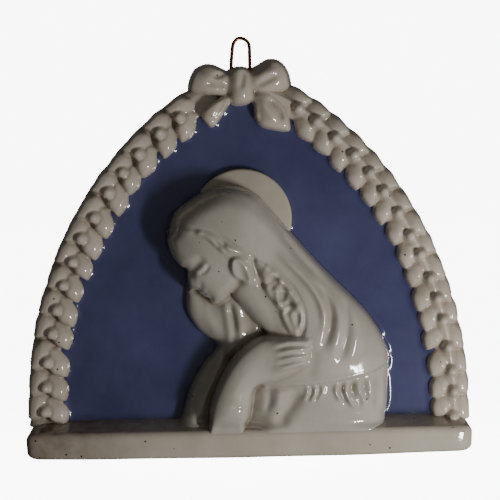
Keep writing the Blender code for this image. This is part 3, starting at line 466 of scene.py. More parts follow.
def garland(name, mirror):
    """A closed strip of leaves and berries with its outer wall, on the right (1) or the left (-1)."""
    run = np.arange(-3.0, RUN[-1] + 2.0, CARVING_STEP)
    across = np.concatenate([np.zeros(WALL_COLUMNS), np.arange(0, GARLAND_REACH, CARVING_STEP)])
    middle, down, outwards = arch_frame(np.clip(run, -9, RUN[-1] - 0.5))
    side = RIGHT if mirror == 1 else LEFT
    bulge = LEAF_BULGE * (0.5 - 0.5 * np.cos((run - side["start"]) / side["pitch"] * 2 * math.pi))
    bulge = bulge * np.clip(run / side["pitch"], 0, 1) * np.clip((RUN[-1] - run) / side["pitch"], 0, 1)
    outward_by = -across[None, :] + bulge[:, None] * np.clip(1 - across / 4, 0, 1)[None, :]
    x = middle[:, :1] + outwards[:, :1] * outward_by
    z = middle[:, 1:] + outwards[:, 1:] * outward_by
    inset = np.broadcast_to(across, x.shape)
    depth = deepened(garland_depth(x, z, inset, mirror), CARVING_STEP, 1.5)
    soft = blur(depth, EDGE_BRUSH / CARVING_STEP)
    # How deep each crease is, capped: the glaze tints it brown as painted shade with some real dirt. The
    # outer wall gets a flat amount of brown.
    shade_and_stain = np.minimum(blur(depth, CREASE_SHADE_BRUSH / CARVING_STEP) - depth, DEEPEST_SHADE_AND_STAIN)
    wall = np.linspace(0, 1, WALL_COLUMNS)
    soft[:, :WALL_COLUMNS] = BACK_GAP + (soft[:, WALL_COLUMNS:WALL_COLUMNS + 1] - BACK_GAP) * wall
    tucked = WALL_TUCK * (1 - np.sqrt(1 - wall ** 2))
    x[:, :WALL_COLUMNS] -= outwards[:, :1] * tucked
    z[:, :WALL_COLUMNS] -= outwards[:, 1:] * tucked
    shade_and_stain[:, :WALL_COLUMNS] = WALL_STAIN
    soft[[0, -1]] = BACK_GAP
    soft[:, [0, -1]] = BACK_GAP
    white = np.where(inset < GARLAND_WIDTH / 2, 1.0, white_share(soft))
    return clay_sheet(name, x * mirror, z, soft, softening=2, attributes={"shade_and_stain": shade_and_stain, "white": white})


garland_sides = [garland("garland_right", 1), garland("garland_left", -1)]

# %% [markdown]
# ## The bow
# Five ribbons overlap: two tails, two loops and the knot that holds them. Each is a cushion inside its own
# outline, cut by a few folds. They are carved on one grid, so that each lies over the one before with a soft
# crease, and the sheet's edge drops to the back where the loops stand out past the arch. The bow is drawn in
# hundredths of its own width, right and up from the arch's tip.

# %% The tails
BOW_WIDTH = 58.0
LEFT_TAIL = {
    "outline": [(-12, -26), (-30, -33), (-41, -43.5), (-38, -53.5), (-29.5, -58.5), (-20, -48), (-11.5, -34)],
    "base": 15.0, "rise": 7.0, "dome": ((-26, -43), (20, 13), 48),
    "folds": [
        ([(-16, -32), (-23, -44), (-30, -54)], 2.0, -1.8),
        ([(-14, -33), (-19, -43), (-25, -53)], 1.6, 0.8),
    ],
}
RIGHT_TAIL = {
    "outline": [
        (8, -27), (11, -39), (11, -49.5), (16, -57.5), (25.5, -61.5), (45.5, -64), (47.5, -53.5), (42, -38.5),
        (27, -24),
    ],
    "base": 14.5, "rise": 8.5, "dome": ((28, -45), (26, 17), -45),
    "folds": [
        ([(16, -30), (24, -43), (33, -56)], 3.0, 1.6),
        ([(24, -30), (34, -41), (40, -55)], 2.4, -3.6),
        ([(14, -37), (16.5, -47), (19, -56)], 2.6, -1.6),
    ],
}
print("the tails have", len(LEFT_TAIL["folds"]) + len(RIGHT_TAIL["folds"]), "folds")

# %% The loops and the knot
LEFT_LOOP = {
    "outline": [
        (-12, -7.5), (-25, 2), (-35.5, 4.5), (-45.5, 0), (-51, -9.5), (-52.5, -20.5), (-42, -25.5),
        (-30.5, -27.5), (-12, -26.5),
    ],
    "base": 7.0, "rise": 17.0, "dome": ((-30, -12), (26, 20), 8),
    "folds": [
        ([(-14, -22), (-24, -17), (-36, -16)], 2.0, -2.6),
        ([(-13, -5), (-20, -8), (-30, -11.5)], 2.0, -2.8),
        ([(-20, -14), (-30, -11), (-40, -4)], 3.0, 0.9),
    ],
}
RIGHT_LOOP = {
    "outline": [
        (7.5, -4.5), (19, 4), (29, 8.5), (38.5, 5), (45.5, -5), (48, -20.5), (41, -26), (28, -27), (8, -24),
    ],
    "base": 7.0, "rise": 17.0, "dome": ((27, -10), (26, 20), 12),
    "folds": [
        ([(9, -9), (18, -2), (30, 4)], 1.7, -3.0),
        ([(12, -20), (24, -15), (37, -9)], 1.9, -2.2),
        ([(13, -13), (24, -8), (37, -4)], 2.6, 1.1),
    ],
}
KNOT = {
    "outline": [
        (-14, -4), (-8, 0.5), (-0.5, 1.4), (7, -2), (11, -16), (12.5, -26), (8.5, -35), (-1.5, -38),
        (-11, -36), (-14.5, -23),
    ],
    "base": 9.0, "rise": 16.0, "dome": ((-1, -18), (15, 25), 0),
    "folds": [
        ([(1, -3), (1, -12), (-1, -24)], 2.4, -2.3),
        ([(8, -10), (8, -22), (6, -31)], 2.0, -0.8),
        ([(-8, -6), (-9, -18), (-8, -30)], 2.2, -0.5),
    ],
}
RIBBONS = [LEFT_TAIL, RIGHT_TAIL, LEFT_LOOP, RIGHT_LOOP, KNOT]
print("the bow has", len(RIBBONS), "ribbons")


# %% The bow
BOW_STEP = 0.36
BOW_REACH = 36.0
WHITE_TOP = 20.0


def bow_depth(x, z):
    """Depth of the bow's ribbons over its place on the arch, and 0 beside them."""
    unit = BOW_WIDTH / 100
    u = x / unit
    w = (z - ARCH_TIP) / unit
    depth = np.zeros(x.shape)
    for ribbon in RIBBONS:
        inside = depth_inside(smooth_curve(ribbon["outline"], True), u, w)
        cushion = 0.4 * round_edge(inside, 5) + 0.6 * dome(u, w, *ribbon["dome"])
        form = ribbon["base"] + ribbon["rise"] * cushion
        for points, width, height in ribbon["folds"]:
            form = form + fold(u, w, points, width, height)
        depth = np.where(inside > 0, blend_up(depth, form, 0.6), depth)
    return depth


def bow():
    """The bow as one sheet over the arch's tip."""
    columns = np.arange(-BOW_REACH, BOW_REACH, BOW_STEP)
    x, z = np.meshgrid(columns, np.arange(ARCH_TIP - 46, ARCH_TIP + 8, BOW_STEP))
    nothing = np.where(arch_inset(x, z) > 0, SLAB_DEPTH - 4, BACK_GAP)
    depth = np.maximum(bow_depth(x, z), nothing)
    used = blur((depth > nothing + 0.1).astype(float), 1) > 0.001
    soft = np.where(used, blur(depth, 0.6 / BOW_STEP), BACK_GAP)
    # How deep each crease is: the glaze tints it brown as painted shade with some real dirt.
    filled = blur(np.where(used, depth, SLAB_DEPTH + 4), CREASE_SHADE_BRUSH / BOW_STEP)
    shade_and_stain = np.where(used, filled - depth, 0)
    rim = used & (blur(used.astype(float), 1) < 0.999)
    soft[rim] = BACK_GAP
    shade_and_stain[rim] = 0
    white = np.where(z > ARCH_TIP - WHITE_TOP, 1.0, white_share(soft))
    carried = {"shade_and_stain": shade_and_stain, "white": white}
    return clay_sheet("bow", x, z, soft, keep=used, softening=4, attributes=carried)


bow_piece = bow()

# %% [markdown]
# ## The half-figure
# The figure is worked in hundredths of its own height, right and up from the foot of its middle. It is built
# up as a sculptor would: great masses first (head, fall of the veil, back, bodice), then the neck, face and
# hair, then the cloth over them with its folds, and the near arm and hand last, because they lie on top.

# %% Its size and its halo's
FIGURE_HEIGHT = 134.0
FIGURE_OFFSET = 16.0
FIGURE_UNIT = FIGURE_HEIGHT / 100
HALO_CENTRE = (-13.0, 87.0)
HALO_RADIUS = 21.3
HALO_RELIEF = 3.4
print("a hundredth of the figure is", FIGURE_UNIT, "mm")

# %% The figure's outlines
BACK_OF_VEIL = [
    (-44.9, 79.2), (-44, 86.1), (-41.4, 91.1), (-36.7, 94.8), (-31.7, 98), (-26.6, 100.6), (-20.5, 102),
    (-13.6, 101.1), (-6.7, 97.8), (-1.5, 92.3), (8.3, 80.5), (21.2, 65.6), (35.7, 50.9), (41, 44.5),
    (45.6, 37.3), (49, 28.9), (49.4, 22),
]
FRONT_OF_VEIL = [
    (10.5, 38), (12, 42), (12.1, 48), (10.7, 52.8), (7.9, 58.6), (3.5, 63), (-2.2, 68.7), (-8, 71.9),
    (-12.9, 74.4), (-18.6, 79.2), (-23.9, 82.2), (-29, 83.6), (-34, 84.6), (-40, 85), (-45.5, 83),
]
HEM = [(50.2, 25.2), (46.7, 24.4), (38.1, 21.6), (31, 20.1), (21, 18.8), (9.6, 17.6), (-1.8, 17.1), (-6, 17)]
BODY_FRONT = [
    (48.9, 15), (48.4, 5), (46.5, -5), (45, -22), (-21, -22), (-20, 8), (-15, 20), (-8, 32), (-4, 40),
    (-6, 48), (-13, 57), (-24, 63), (-34, 68.5), (-42, 75),
]
FAR_VEIL = [
    (-37, 62), (-37.9, 54.1), (-37.7, 47.1), (-34.3, 40.7), (-29.8, 36.3), (-25.2, 33.1), (-24.1, 29.5),
    (-20.7, 26.3), (-13.6, 28), (-1, 36), (-4, 48), (-14.7, 56), (-28, 64),
]
THROAT_HOLLOW = [(-34, 58), (-29, 51), (-22, 48), (-13, 45), (-6, 40)]
NECK = [(-9, 60), (-2.6, 51), (6, 40)]
FAR_ARM = [
    (-22, 33.5), (-27.5, 28.5), (-31.5, 23.8), (-36, 16.5), (-39.1, 8.2), (-46, -20), (-28, -20), (-24, 10),
    (-18, 22),
]
NEAR_ARM = [
    (-30, -22), (-28.9, -0.8), (-28.2, 7.9), (-24.5, 18), (-18.6, 28), (-11.4, 35), (-4.2, 38.1), (5.8, 38.3),
    (12.9, 38), (15, 36.6), (14.7, 34.4), (14.2, 31), (12.7, 27), (5.4, 22.4), (-1.7, 18.9), (-8.8, 16),
    (-10.6, 9.5), (-11.7, 3), (-14, -2), (-16, -22),
]
FINGERS = [
    [(-3, 35), (5.6, 36.6), (12.7, 36.3)],
    [(-2, 31.8), (6.2, 33.4), (13.1, 33.5)],
    [(-2, 28.4), (6.2, 30.2), (12.5, 30.6)],
    [(-3, 24.6), (5, 26.8), (11, 28)],
]
FINGER_GAPS = [
    [(-2, 33.4), (5.6, 35), (13.6, 34.9)],
    [(-1, 30.2), (6.2, 31.8), (13.6, 32)],
    [(-1, 26.8), (6.2, 28.6), (12.6, 29.3)],
]
print("the figure's outer edge has", len(BACK_OF_VEIL) + len(BODY_FRONT), "points")

# %% [markdown]
# The face is a plain one, laid out by the old workshop rule: hairline to brow, brow to nose and nose to chin
# are equal thirds, and the eye sits half a third below the brow. Places on it are given in those thirds, down
# from the brow and forward of it, so the whole face turns and grows with two numbers.

# %% The face's features
FACE_THIRD = 10.8
FACE_TURN = 38.0
BROW = (-39.0, 67.2)
PROFILE = [
    (-1.35, -0.42), (-1.0, -0.08), (-0.6, 0.06), (-0.25, 0.08), (0, 0.04), (0.17, -0.06), (0.45, 0.14),
    (0.75, 0.36), (0.9, 0.44), (1.0, 0.34), (1.06, 0.17), (1.15, 0.12), (1.24, 0.16), (1.33, 0.1),
    (1.43, 0.12), (1.55, 0.03), (1.66, -0.01), (1.8, 0.04), (1.94, 0.0), (2.05, -0.16), (2.1, -0.45),
    (2.02, -0.95), (1.88, -1.45), (1.6, -1.95), (1.2, -2.3), (0.5, -2.9), (-0.4, -2.9), (-1.3, -2.0),
]
FEATURES = [
    ([(0.22, -1.1), (0.24, -0.7), (0.3, -0.3)], 2.4, -0.9),
    ([(0.4, -0.98), (0.48, -0.66), (0.42, -0.36)], 1.5, 0.9),
    ([(0.52, -1.06), (0.63, -0.7), (0.55, -0.36)], 0.6, -1.0),
    ([(0.0, -1.2), (-0.12, -0.7), (-0.02, -0.16)], 2.0, 0.1),
    ([(0.04, -0.1), (0.46, 0.04), (0.9, 0.2)], 1.6, 1.5),
    ([(0.16, -0.3), (0.34, -0.24), (0.56, -0.16)], 1.5, -1.1),
    ([(0.86, -0.06), (0.96, 0.04)], 1.3, 1.1),
    ([(0.74, -0.26), (0.92, -0.27), (1.06, -0.14)], 0.9, -0.45),
    ([(1.23, 0.06), (1.22, -0.1), (1.28, -0.3)], 1.0, 0.45),
    ([(1.33, 0.06), (1.34, -0.14), (1.37, -0.38)], 0.7, -0.6),
    ([(1.44, 0.04), (1.45, -0.1), (1.42, -0.26)], 1.1, 0.55),
    ([(1.6, -0.04), (1.63, -0.26)], 1.3, -0.35),
    ([(1.84, -0.04), (1.88, -0.3)], 2.2, 0.4),
]
print("the face has", len(FEATURES), "features")


# %% Carving the face
def face_point(down, forward):
    """A place on the face, in thirds of the face down from the brow and forward of it."""
    turn = math.radians(FACE_TURN)
    along = down * FACE_THIRD
    out = forward * FACE_THIRD
    across = along * math.sin(turn) - out * math.cos(turn)
    return BROW[0] + across, BROW[1] - along * math.cos(turn) - out * math.sin(turn)


def carve_face(u, w, form):
    """The face with its lowered eye, the side of the nose, the lips and the chin."""
    inside = depth_inside(smooth_curve([face_point(*spot) for spot in PROFILE], True, 4), u, w)
    cheek = 8.5 + 13.5 * dome(u, w, face_point(0.45, -1.45), (19.5, 28), FACE_TURN)
    face = cheek * (0.6 * round_edge(inside, 1.4) + 0.4 * round_edge(inside, 6.0))
    for spots, width, height in FEATURES:
        face = face + fold(u, w, [face_point(*spot) for spot in spots], width, height)
    return np.where(inside > 0, blend_up(form, face, 2.4), form)


print("the chin lies at", [round(value, 1) for value in face_point(2.0, 0.0)], "hundredths")


# %% [markdown]
# The hair is parted under the veil: waves from the forehead, a lock turned over the ear, and curls that fall
# down the neck. Each lock is one short fold: its points, its width and its height.

# %% The locks
HAIR_EDGE = [
    (10, 36), (4, 42), (0.4, 51), (-3.9, 57), (-5.6, 61.5), (-9, 59.6), (-13, 60), (-18.4, 65.5), (-19.4, 72),
    (-21.6, 74.7), (-25.4, 78.2), (-29.3, 80.8), (-34, 82.4), (-41, 82.4),
]
EAR_LOCK = [
    (-18.2, 70), (-17.2, 72.2), (-14, 72.3), (-11.2, 69.5), (-9.3, 64.5), (-9.6, 61), (-12.2, 60.6),
    (-16, 63.2), (-18, 66.5),
]
LOCKS = [
    ([(-37, 82.6), (-32.5, 81.6), (-29.5, 82.2), (-25.5, 79.8), (-23.4, 76.6), (-19.6, 74.4)], 1.0, 1.7),
    ([(-33, 84), (-28, 83.4), (-24, 80.6), (-21, 77.2), (-16.4, 74.4)], 0.9, 1.4),
    ([(-27.6, 79), (-24.4, 76), (-21.4, 74.6), (-19.8, 71.4)], 0.8, 1.1),
    ([(-20.6, 78.4), (-17, 75.6), (-13, 74.2), (-9, 70.8)], 0.9, 1.4),
    ([(-8.6, 71.8), (-6, 70.6), (-3.6, 67.8), (-3.8, 64.2), (-2, 61.6)], 2.0, 2.0),
    ([(-3.6, 69.2), (-0.6, 66.8), (1.2, 64.4)], 1.4, 1.3),
    ([(-2.6, 63.4), (-0.8, 65.4), (1.6, 63.8), (2, 61)], 1.4, 1.7),
    ([(1.2, 62), (3.8, 61.4), (5.6, 59.2), (5.2, 56.6)], 1.5, 1.9),
    ([(-3.8, 61), (-3, 57.6), (-2.6, 54.2), (-0.6, 51.4)], 1.8, 1.3),
    ([(-0.6, 59.6), (1, 57), (1, 54.2), (2.6, 51.6)], 1.6, 1.6),
    ([(4.8, 57.8), (7.8, 55.4), (9, 51.8), (8.2, 48)], 1.6, 1.8),
    ([(-0.4, 53), (2.6, 51.2), (4.6, 48.8)], 1.4, 1.3),
    ([(9.6, 53.4), (11.2, 49), (11, 45), (9.8, 40.6)], 1.3, 1.9),
    ([(6.4, 49.4), (7.2, 45.6), (8.4, 41.6), (8.6, 38)], 1.3, 1.5),
    ([(2.8, 49.6), (4, 45.4), (5.8, 41.6), (6.2, 38.4)], 1.4, 1.2),
]
HAIR_HOLLOWS = [
    ([(-31, 82.8), (-26.4, 81.4), (-22.2, 77.6), (-18.6, 75.6)], 0.7, -1.0),
    ([(-9, 72.8), (-7.8, 67), (-6, 62), (-4.8, 57.6)], 1.0, -1.6),
    ([(3, 57.4), (3.2, 55), (3.4, 53)], 1.3, -1.6),
    ([(5.8, 53.6), (6.2, 51.4)], 0.9, -1.0),
]
print("the hair has", len(LOCKS), "locks")


# %% Carving the hair
def carve_hair(u, w, form):
    """Locks from the forehead over the ear and down the neck, inside the front of the veil."""
    inside = depth_inside(smooth_curve(FRONT_OF_VEIL[::-1] + HAIR_EDGE, True, 4), u, w)
    hair = (0.4 + add_folds(u, w, LOCKS, 0.15)) * round_edge(inside, 2.0)
    form = np.where(inside > 0, form + hair, form) + add_folds(u, w, HAIR_HOLLOWS, 0.2)
    lock = depth_inside(smooth_curve(EAR_LOCK, True), u, w)
    return form + (2.3 * round_edge(lock, 2.2) - 1.1 * round_edge(lock - 1.6, 2.0)) * (lock > 0)


# %% [markdown]
# The cloth is a thin extra skin over the masses. Its folds are the same short ridges and grooves: long ones
# down the veil, a rolled hem, and the gathers of the bodice below it.

# %% Folds of the cloth
VEIL_FOLDS = [
    ([(-11.3, 100.6), (-3.7, 94), (1.5, 85.6), (6.5, 76.7), (13, 68.6), (21, 60), (26.7, 51.8)], 1.5, -1.3),
    ([(-3.6, 98), (4, 89), (10, 79.6), (17, 70.6), (24.6, 62)], 2.4, 0.8),
    ([(-18.2, 97), (-9.6, 90.6), (-2, 82.7), (5.6, 73.8), (13.2, 64.8), (19, 57.5), (23.4, 50)], 1.9, 0.7),
    ([(-1, 77), (4.5, 71), (11.6, 63.6), (16.6, 57.2), (19.6, 50.4), (20.2, 43.4), (18, 37.6)], 1.5, 1.9),
    ([(14, 64.6), (19, 58), (22.6, 51), (23, 44), (21, 36.7), (17, 30.5)], 1.5, -1.5),
    ([(22.6, 58), (26, 51), (26.6, 43), (24.4, 34), (20.6, 27)], 1.8, 1.1),
    ([(25.6, 57), (29.3, 50), (30, 41.5), (28.2, 32), (25, 24.8)], 1.6, -1.1),
    ([(30, 54), (33.4, 47), (34, 39), (32, 30.2), (29, 23.6)], 2.2, 0.8),
    ([(34.6, 50), (37.6, 43.4), (38.2, 36), (36.4, 28.6)], 2.0, -0.5),
    ([(14.5, 36), (16, 31), (15, 25), (12, 20)], 2.4, -0.6),
]
HEM_ROLL = ([(50, 24.8), (46.7, 24.2), (38.1, 21.5), (31, 20), (21, 18.7), (9.6, 17.4), (-3, 16.8)], 0.9, 0.9)
BODICE_FOLDS = [
    ([(9, 17.5), (8, 12.4), (5.2, 7.6), (2.2, 3.2), (1, -4)], 3.2, -2.4),
    ([(1, 17), (0.8, 12), (-0.8, 7)], 1.4, 0.6),
    ([(-2.6, 17), (-2.8, 11), (-4.4, 5)], 1.2, -0.6),
    ([(-5.6, 16.5), (-5.8, 10), (-7, 3)], 1.3, 0.5),
    ([(12.5, 17.6), (12.9, 14.3), (10.7, 10.6)], 0.9, 0.8),
    ([(14, 17.8), (14.6, 14.4), (12.4, 10)], 0.6, -0.8),
    ([(15.5, 17.9), (16.1, 14.6), (13.7, 10)], 0.9, 0.9),
    ([(17.2, 18), (17.7, 14.6), (15.2, 10)], 0.6, -0.8),
    ([(18.9, 18.3), (19.3, 15), (16.6, 11)], 0.9, 0.6),
    ([(25.8, 18.6), (24.9, 14.8), (27.5, 9.6)], 0.9, 1.5),
    ([(27.8, 18.8), (26.9, 14.8), (29.4, 9)], 0.8, -1.2),
    ([(30.2, 19.2), (28.9, 14.7), (31, 10), (34, 6.4)], 1.0, 1.8),
    ([(32.4, 19.6), (31.6, 15), (33.6, 10.6)], 0.8, -1.4),
    ([(34.8, 20), (34.5, 15.3), (36.6, 11.4), (36.8, 6)], 1.0, 1.5),
    ([(36.8, 20.4), (36.9, 14.6), (38.4, 9)], 0.8, -1.0),
    ([(39.2, 20.8), (39.7, 13.7), (38.9, 6)], 1.0, 0.9),
    ([(42.4, 22), (42.8, 13), (42.2, 3)], 1.2, -0.8),
    ([(45.4, 22.4), (45.7, 12.9), (45.4, 4)], 0.9, 0.9),
]
FAR_FOLDS = [
    ([(-22, 55), (-20.5, 47), (-19.5, 38), (-20, 30)], 1.6, 0.8),
    ([(-19, 53), (-18, 46), (-17, 38)], 1.1, -0.9),
    ([(-17, 54), (-15.5, 47), (-14.5, 40), (-16, 32)], 1.5, 0.9),
    ([(-28, 56), (-29, 48), (-26, 40), (-22, 34)], 2.4, 0.5),
    ([(-10, 48), (-8, 43), (-8, 38)], 1.4, 0.7),
]
print("the cloth has", len(VEIL_FOLDS + BODICE_FOLDS + FAR_FOLDS), "folds")


# %% The far side
def carve_far_side(u, w, form):
    """The far fall of the veil and the far arm, in the lowest relief."""
    inside = depth_inside(smooth_curve(FAR_VEIL, True), u, w)
    veil = (6.4 + 4.2 * ease((u + 32) / 20)) * round_edge(inside, 7) + add_folds(u, w, FAR_FOLDS)
    form = np.where(inside > 0, np.maximum(form, veil), form)
    inside = depth_inside(smooth_curve(FAR_ARM, True), u, w)
    arm = 8.5 * round_edge(inside, 6.5) + fold(u, w, [(-22, 24), (-29, 14), (-36, 0), (-38, -4)], 2.4, 1.2)
    form = np.where(inside > 0, blend_up(form, arm, 0.4), form)
    return form - 1.4 * (form > 0) * np.exp(-(distance_to(smooth_curve(THROAT_HOLLOW), u, w)[0] / 3.5) ** 2)


# %% Head, back and bodice
def great_masses(u, w):
    """The head under its veil, the fall of the veil, the back and the bodice, run together."""
    head = 6 + 16.5 * dome(u, w, (-21.5, 79), (26, 28.5), FACE_TURN)
    spine, _ = distance_to(np.array([(-12.0, 82.0), (20.0, 40.0)]), u, w)
    fall = 19 * np.sqrt(np.clip(1 - (spine / 29) ** 2, 0, 1))
    back = 19 * dome(u, w, (18, 22), (38, 42), -30)
    chest = 17.6 - 7.0 * ease((2 - u) / 13)
    waist = chest * np.sqrt(1 - np.clip((u - 12) / 42, 0, 1) ** 3) * (1 - np.clip((w - 14) / 20, 0, 1))
    return blend_up(blend_up(head, fall, 5), blend_up(back, waist, 3), 4)


def carve_body(u, w, form):
    """The masses inside the figure's outline, then neck, face and hair, and the cloth over them."""
    inside = depth_inside(smooth_curve(BACK_OF_VEIL + BODY_FRONT, True), u, w)
    rounded = 0.25 * round_edge(inside, 1.5) + 0.75 * round_edge(inside, 10)
    mass = np.maximum(great_masses(u, w), 4.5) * rounded
    form = np.where(inside > 0, np.maximum(form, mass), form)
    neck, on_neck, _ = limb(u, w, NECK, 10, 8.2)
    form = np.where(on_neck, blend_up(form, 9.5 + 0.82 * neck, 3), form)
    form = carve_hair(u, w, carve_face(u, w, form))
    edge = BACK_OF_VEIL[:-1] + HEM + [(-9, 30), (4, 34)] + FRONT_OF_VEIL
    veil = depth_inside(smooth_curve(edge, True, 4), u, w)
    thickness = 0.5 + 0.8 * ease((u + 32) / 20)
    drape = thickness * round_edge(veil, 1.2) + add_folds(u, w, VEIL_FOLDS) * round_edge(veil, 3)
    form = np.where(veil > 0, form + drape + fold(u, w, *HEM_ROLL, 0.1), form)
    below = (inside > 0) & (veil <= 0) & (w < 24) & (u > -12)
    return np.where(below, form + add_folds(u, w, BODICE_FOLDS), form)


head_depth = great_masses(np.array([-21.5]), np.array([79.0]))[0] * FIGURE_UNIT
print("the head's mass stands", round(float(head_depth)), "mm over the ground")


# %% The near arm and the hand
def carve_near_arm(u, w, form):
    """The sleeve that stands on the ledge, the forearm, and the hand laid on the breast."""
    inside = depth_inside(smooth_curve(NEAR_ARM, True), u, w)
    plump = 9.6 - 4.6 * ease((u + 4) / 15) - 1.2 * ease((9 - w) / 10)
    seat = 12.4 + 5.6 * ease((u + 5) / 15)
    arm = seat + plump * (0.3 * round_edge(inside, 2.0) + 0.7 * round_edge(inside, 9.0))
    arm = arm + fold(u, w, [(-20, 9.6), (-15.4, 9.4), (-10.4, 10.9)], 0.8, -0.6)
    for finger in FINGERS:
        rise, _, along = limb(u, w, finger, 2.0, 1.8)
        arm = arm + 0.9 * ease(along / 0.5) * rise
    for gap in FINGER_GAPS:
        distance, along = distance_to(smooth_curve(gap), u, w)
        arm = arm - 1.7 * ease(along / 0.4) * np.exp(-(distance / 0.65) ** 2)
    return np.where(inside > 0, blend_up(form, arm, 0.8), form)


print("the hand shows", len(FINGERS), "fingers")


# %% [markdown]
# Where the figure meets the ledge, the clay was smoothed with a wet finger, so its foot flares by a small
# fillet. It ends just short of the ledge's front.

# %% The figure's depths
FOOT_FILLET = 4.0
FOOT_SETBACK = 0.3
FRONT_SLOPE = 0.8
FRONT_FALL = 0.05


def figure_form(x, z):
    """Depth of the half-figure from the back, and 0 beside it."""
    u = (x - FIGURE_OFFSET) / FIGURE_UNIT
    w = (z - LEDGE_HEIGHT) / FIGURE_UNIT
    form = carve_far_side(u, w, np.zeros(x.shape))
    form = carve_body(u, w, form)
    form = carve_near_arm(u, w, form)
    depth = SLAB_DEPTH + form * FIGURE_UNIT
    share = np.clip((depth - SLAB_DEPTH) / (LEDGE_DEPTH - SLAB_DEPTH), 0, 1)
    depth = depth + FOOT_FILLET * (1 - round_edge(z - LEDGE_HEIGHT + LEDGE_DRAFT * share, FOOT_FILLET))
    above = np.clip(z - LEDGE_HEIGHT, 0, None)
    under = np.clip(LEDGE_HEIGHT - z, 0, None)
    limit = LEDGE_DEPTH - FOOT_SETBACK + FRONT_SLOPE * above - FRONT_FALL * under ** 2
    return np.where(form > 0, -blend_up(-depth, -limit, 2.0), 0)


# %% The figure's sheet
FOREHEAD_STAIN = (-0.405, 0.873)
STAIN_REACH = 0.05
STAIN_STRENGTH = 3.0
FIGURE_SHADE_BRUSH = 3.0


def figure():
    """The half-figure as one closed sheet standing in the blue ground."""
    half = FIGURE_HEIGHT * 0.52
    columns = np.arange(FIGURE_OFFSET - half, FIGURE_OFFSET + half, CARVING_STEP)
    low = LEDGE_HEIGHT - LEDGE_DRAFT - 5
    x, z = np.meshgrid(columns, np.arange(low, LEDGE_HEIGHT + FIGURE_HEIGHT * 1.06, CARVING_STEP))
    form = figure_form(x, z)
    ground = SLAB_DEPTH - 1.0
    depth = np.maximum(form, ground)
    depth = np.where(form > 0, deepened(depth, CARVING_STEP, 1.2), depth)
    soft = blur(depth, EDGE_BRUSH / CARVING_STEP)
    soft = np.where(form > 0, soft, np.minimum(soft, SLAB_DEPTH + 0.4))
    used = blur((form > 0).astype(float), 0.8 / CARVING_STEP) > 0.02
    rim = used & (blur(used.astype(float), 1) < 0.999)
    soft[rim] = ground
    soft[[0, -1]] = ground
    soft[:, [0, -1]] = ground
    stain_x = (x - FIGURE_OFFSET) / FIGURE_HEIGHT - FOREHEAD_STAIN[0]
    stain_z = (z - LEDGE_HEIGHT) / FIGURE_HEIGHT - FOREHEAD_STAIN[1]
    brown_amount = STAIN_STRENGTH * np.exp(-(np.hypot(stain_x, stain_z) / STAIN_REACH) ** 2)
    # How deep each crease is, tinted brown by the glaze as painted shade with some real dirt, plus the
    # forehead's real brown stain.
    shade_and_stain = blur(depth, FIGURE_SHADE_BRUSH / CARVING_STEP) - depth + brown_amount
    carried = {"shade_and_stain": shade_and_stain, "white": white_share(soft, 0.4, 0.5)}
    return clay_sheet("half_figure", x, z, soft, keep=used, softening=3, attributes=carried)


figure_piece = figure()

# %% [markdown]
# ## Halo, ground, ledge and back
# These are plain shapes, so bmesh's own operators make most of them. The halo is a disc that is extruded,
# bevelled and inset ring by ring. The blue ground is a sheet of clay like the others, the back is one outline
# extruded, and the ledge is a profile extruded along its length with its edges bevelled.

# %% Extruding a face
def extruded(shape, face, shift):
    """Extrudes a face by a shift, and gives back what has grown."""
    grown = bmesh.ops.extrude_face_region(shape, geom=[face])["geom"]
    moved = [item for item in grown if isinstance(item, bmesh.types.BMVert)]
    bmesh.ops.translate(shape, vec=shift, verts=moved)
    return grown


# %% The halo
HALO_ROUNDING = 1.6
HALO_DOME = 0.6
HALO_SUNK = 2.0


def halo():
    """A flat disc with a rounded rim and a slightly domed face."""
    disc = bmesh.new()
    bmesh.ops.create_circle(disc, cap_ends=True, segments=128, radius=HALO_RADIUS * FIGURE_UNIT * MM)
    rise = (HALO_RELIEF * FIGURE_UNIT + HALO_SUNK) * MM
    top = extruded(disc, next(iter(disc.faces)), (0, 0, rise))
    face = next(item for item in top if isinstance(item, bmesh.types.BMFace))
    bmesh.ops.bevel(
        disc, geom=list(face.edges), offset=HALO_ROUNDING * MM, offset_type="OFFSET", segments=5, profile=0.5,
        affect="EDGES", clamp_overlap=True, material=-1,
    )
    face = max((f for f in disc.faces if len(f.verts) > 4), key=lambda f: f.calc_center_median().z)
    flat_radius = face.verts[0].co.xy.length
    for share in (0.85, 0.65, 0.45, 0.25, 0.08):
        bmesh.ops.inset_individual(disc, faces=[face], thickness=0)
        for vertex in face.verts:
            across = vertex.co.xy.normalized() * flat_radius * share
            vertex.co = Vector((*across, rise + HALO_DOME * (1 - share ** 2) * MM))
    bmesh.ops.recalc_face_normals(disc, faces=disc.faces)
    right, up = (value * FIGURE_UNIT for value in HALO_CENTRE)
    middle = place(FIGURE_OFFSET + right, SLAB_DEPTH - HALO_SUNK, LEDGE_HEIGHT + up)
    turn = Matrix.Translation(middle) @ Matrix.Rotation(math.pi / 2, 4, "X")
    bmesh.ops.transform(disc, matrix=turn, verts=disc.verts)
    return finished("halo", disc)


halo_piece = halo()

# %% [markdown]
# The blue glaze pooled around every form as a liquid does, more in some places than in others, and those
# small slopes are what catches the light beside the figure. The slope is made by blurring the plan of all
# the forms, and two slow waves vary its height.

# %% The blue ground
GROUND_STEP = 0.7
GROUND_INSET = 12.0
GROUND_EDGE_DEPTH = 2.0
GLAZE_CLIMB = 1.1
CLIMB_BRUSH = 1.5


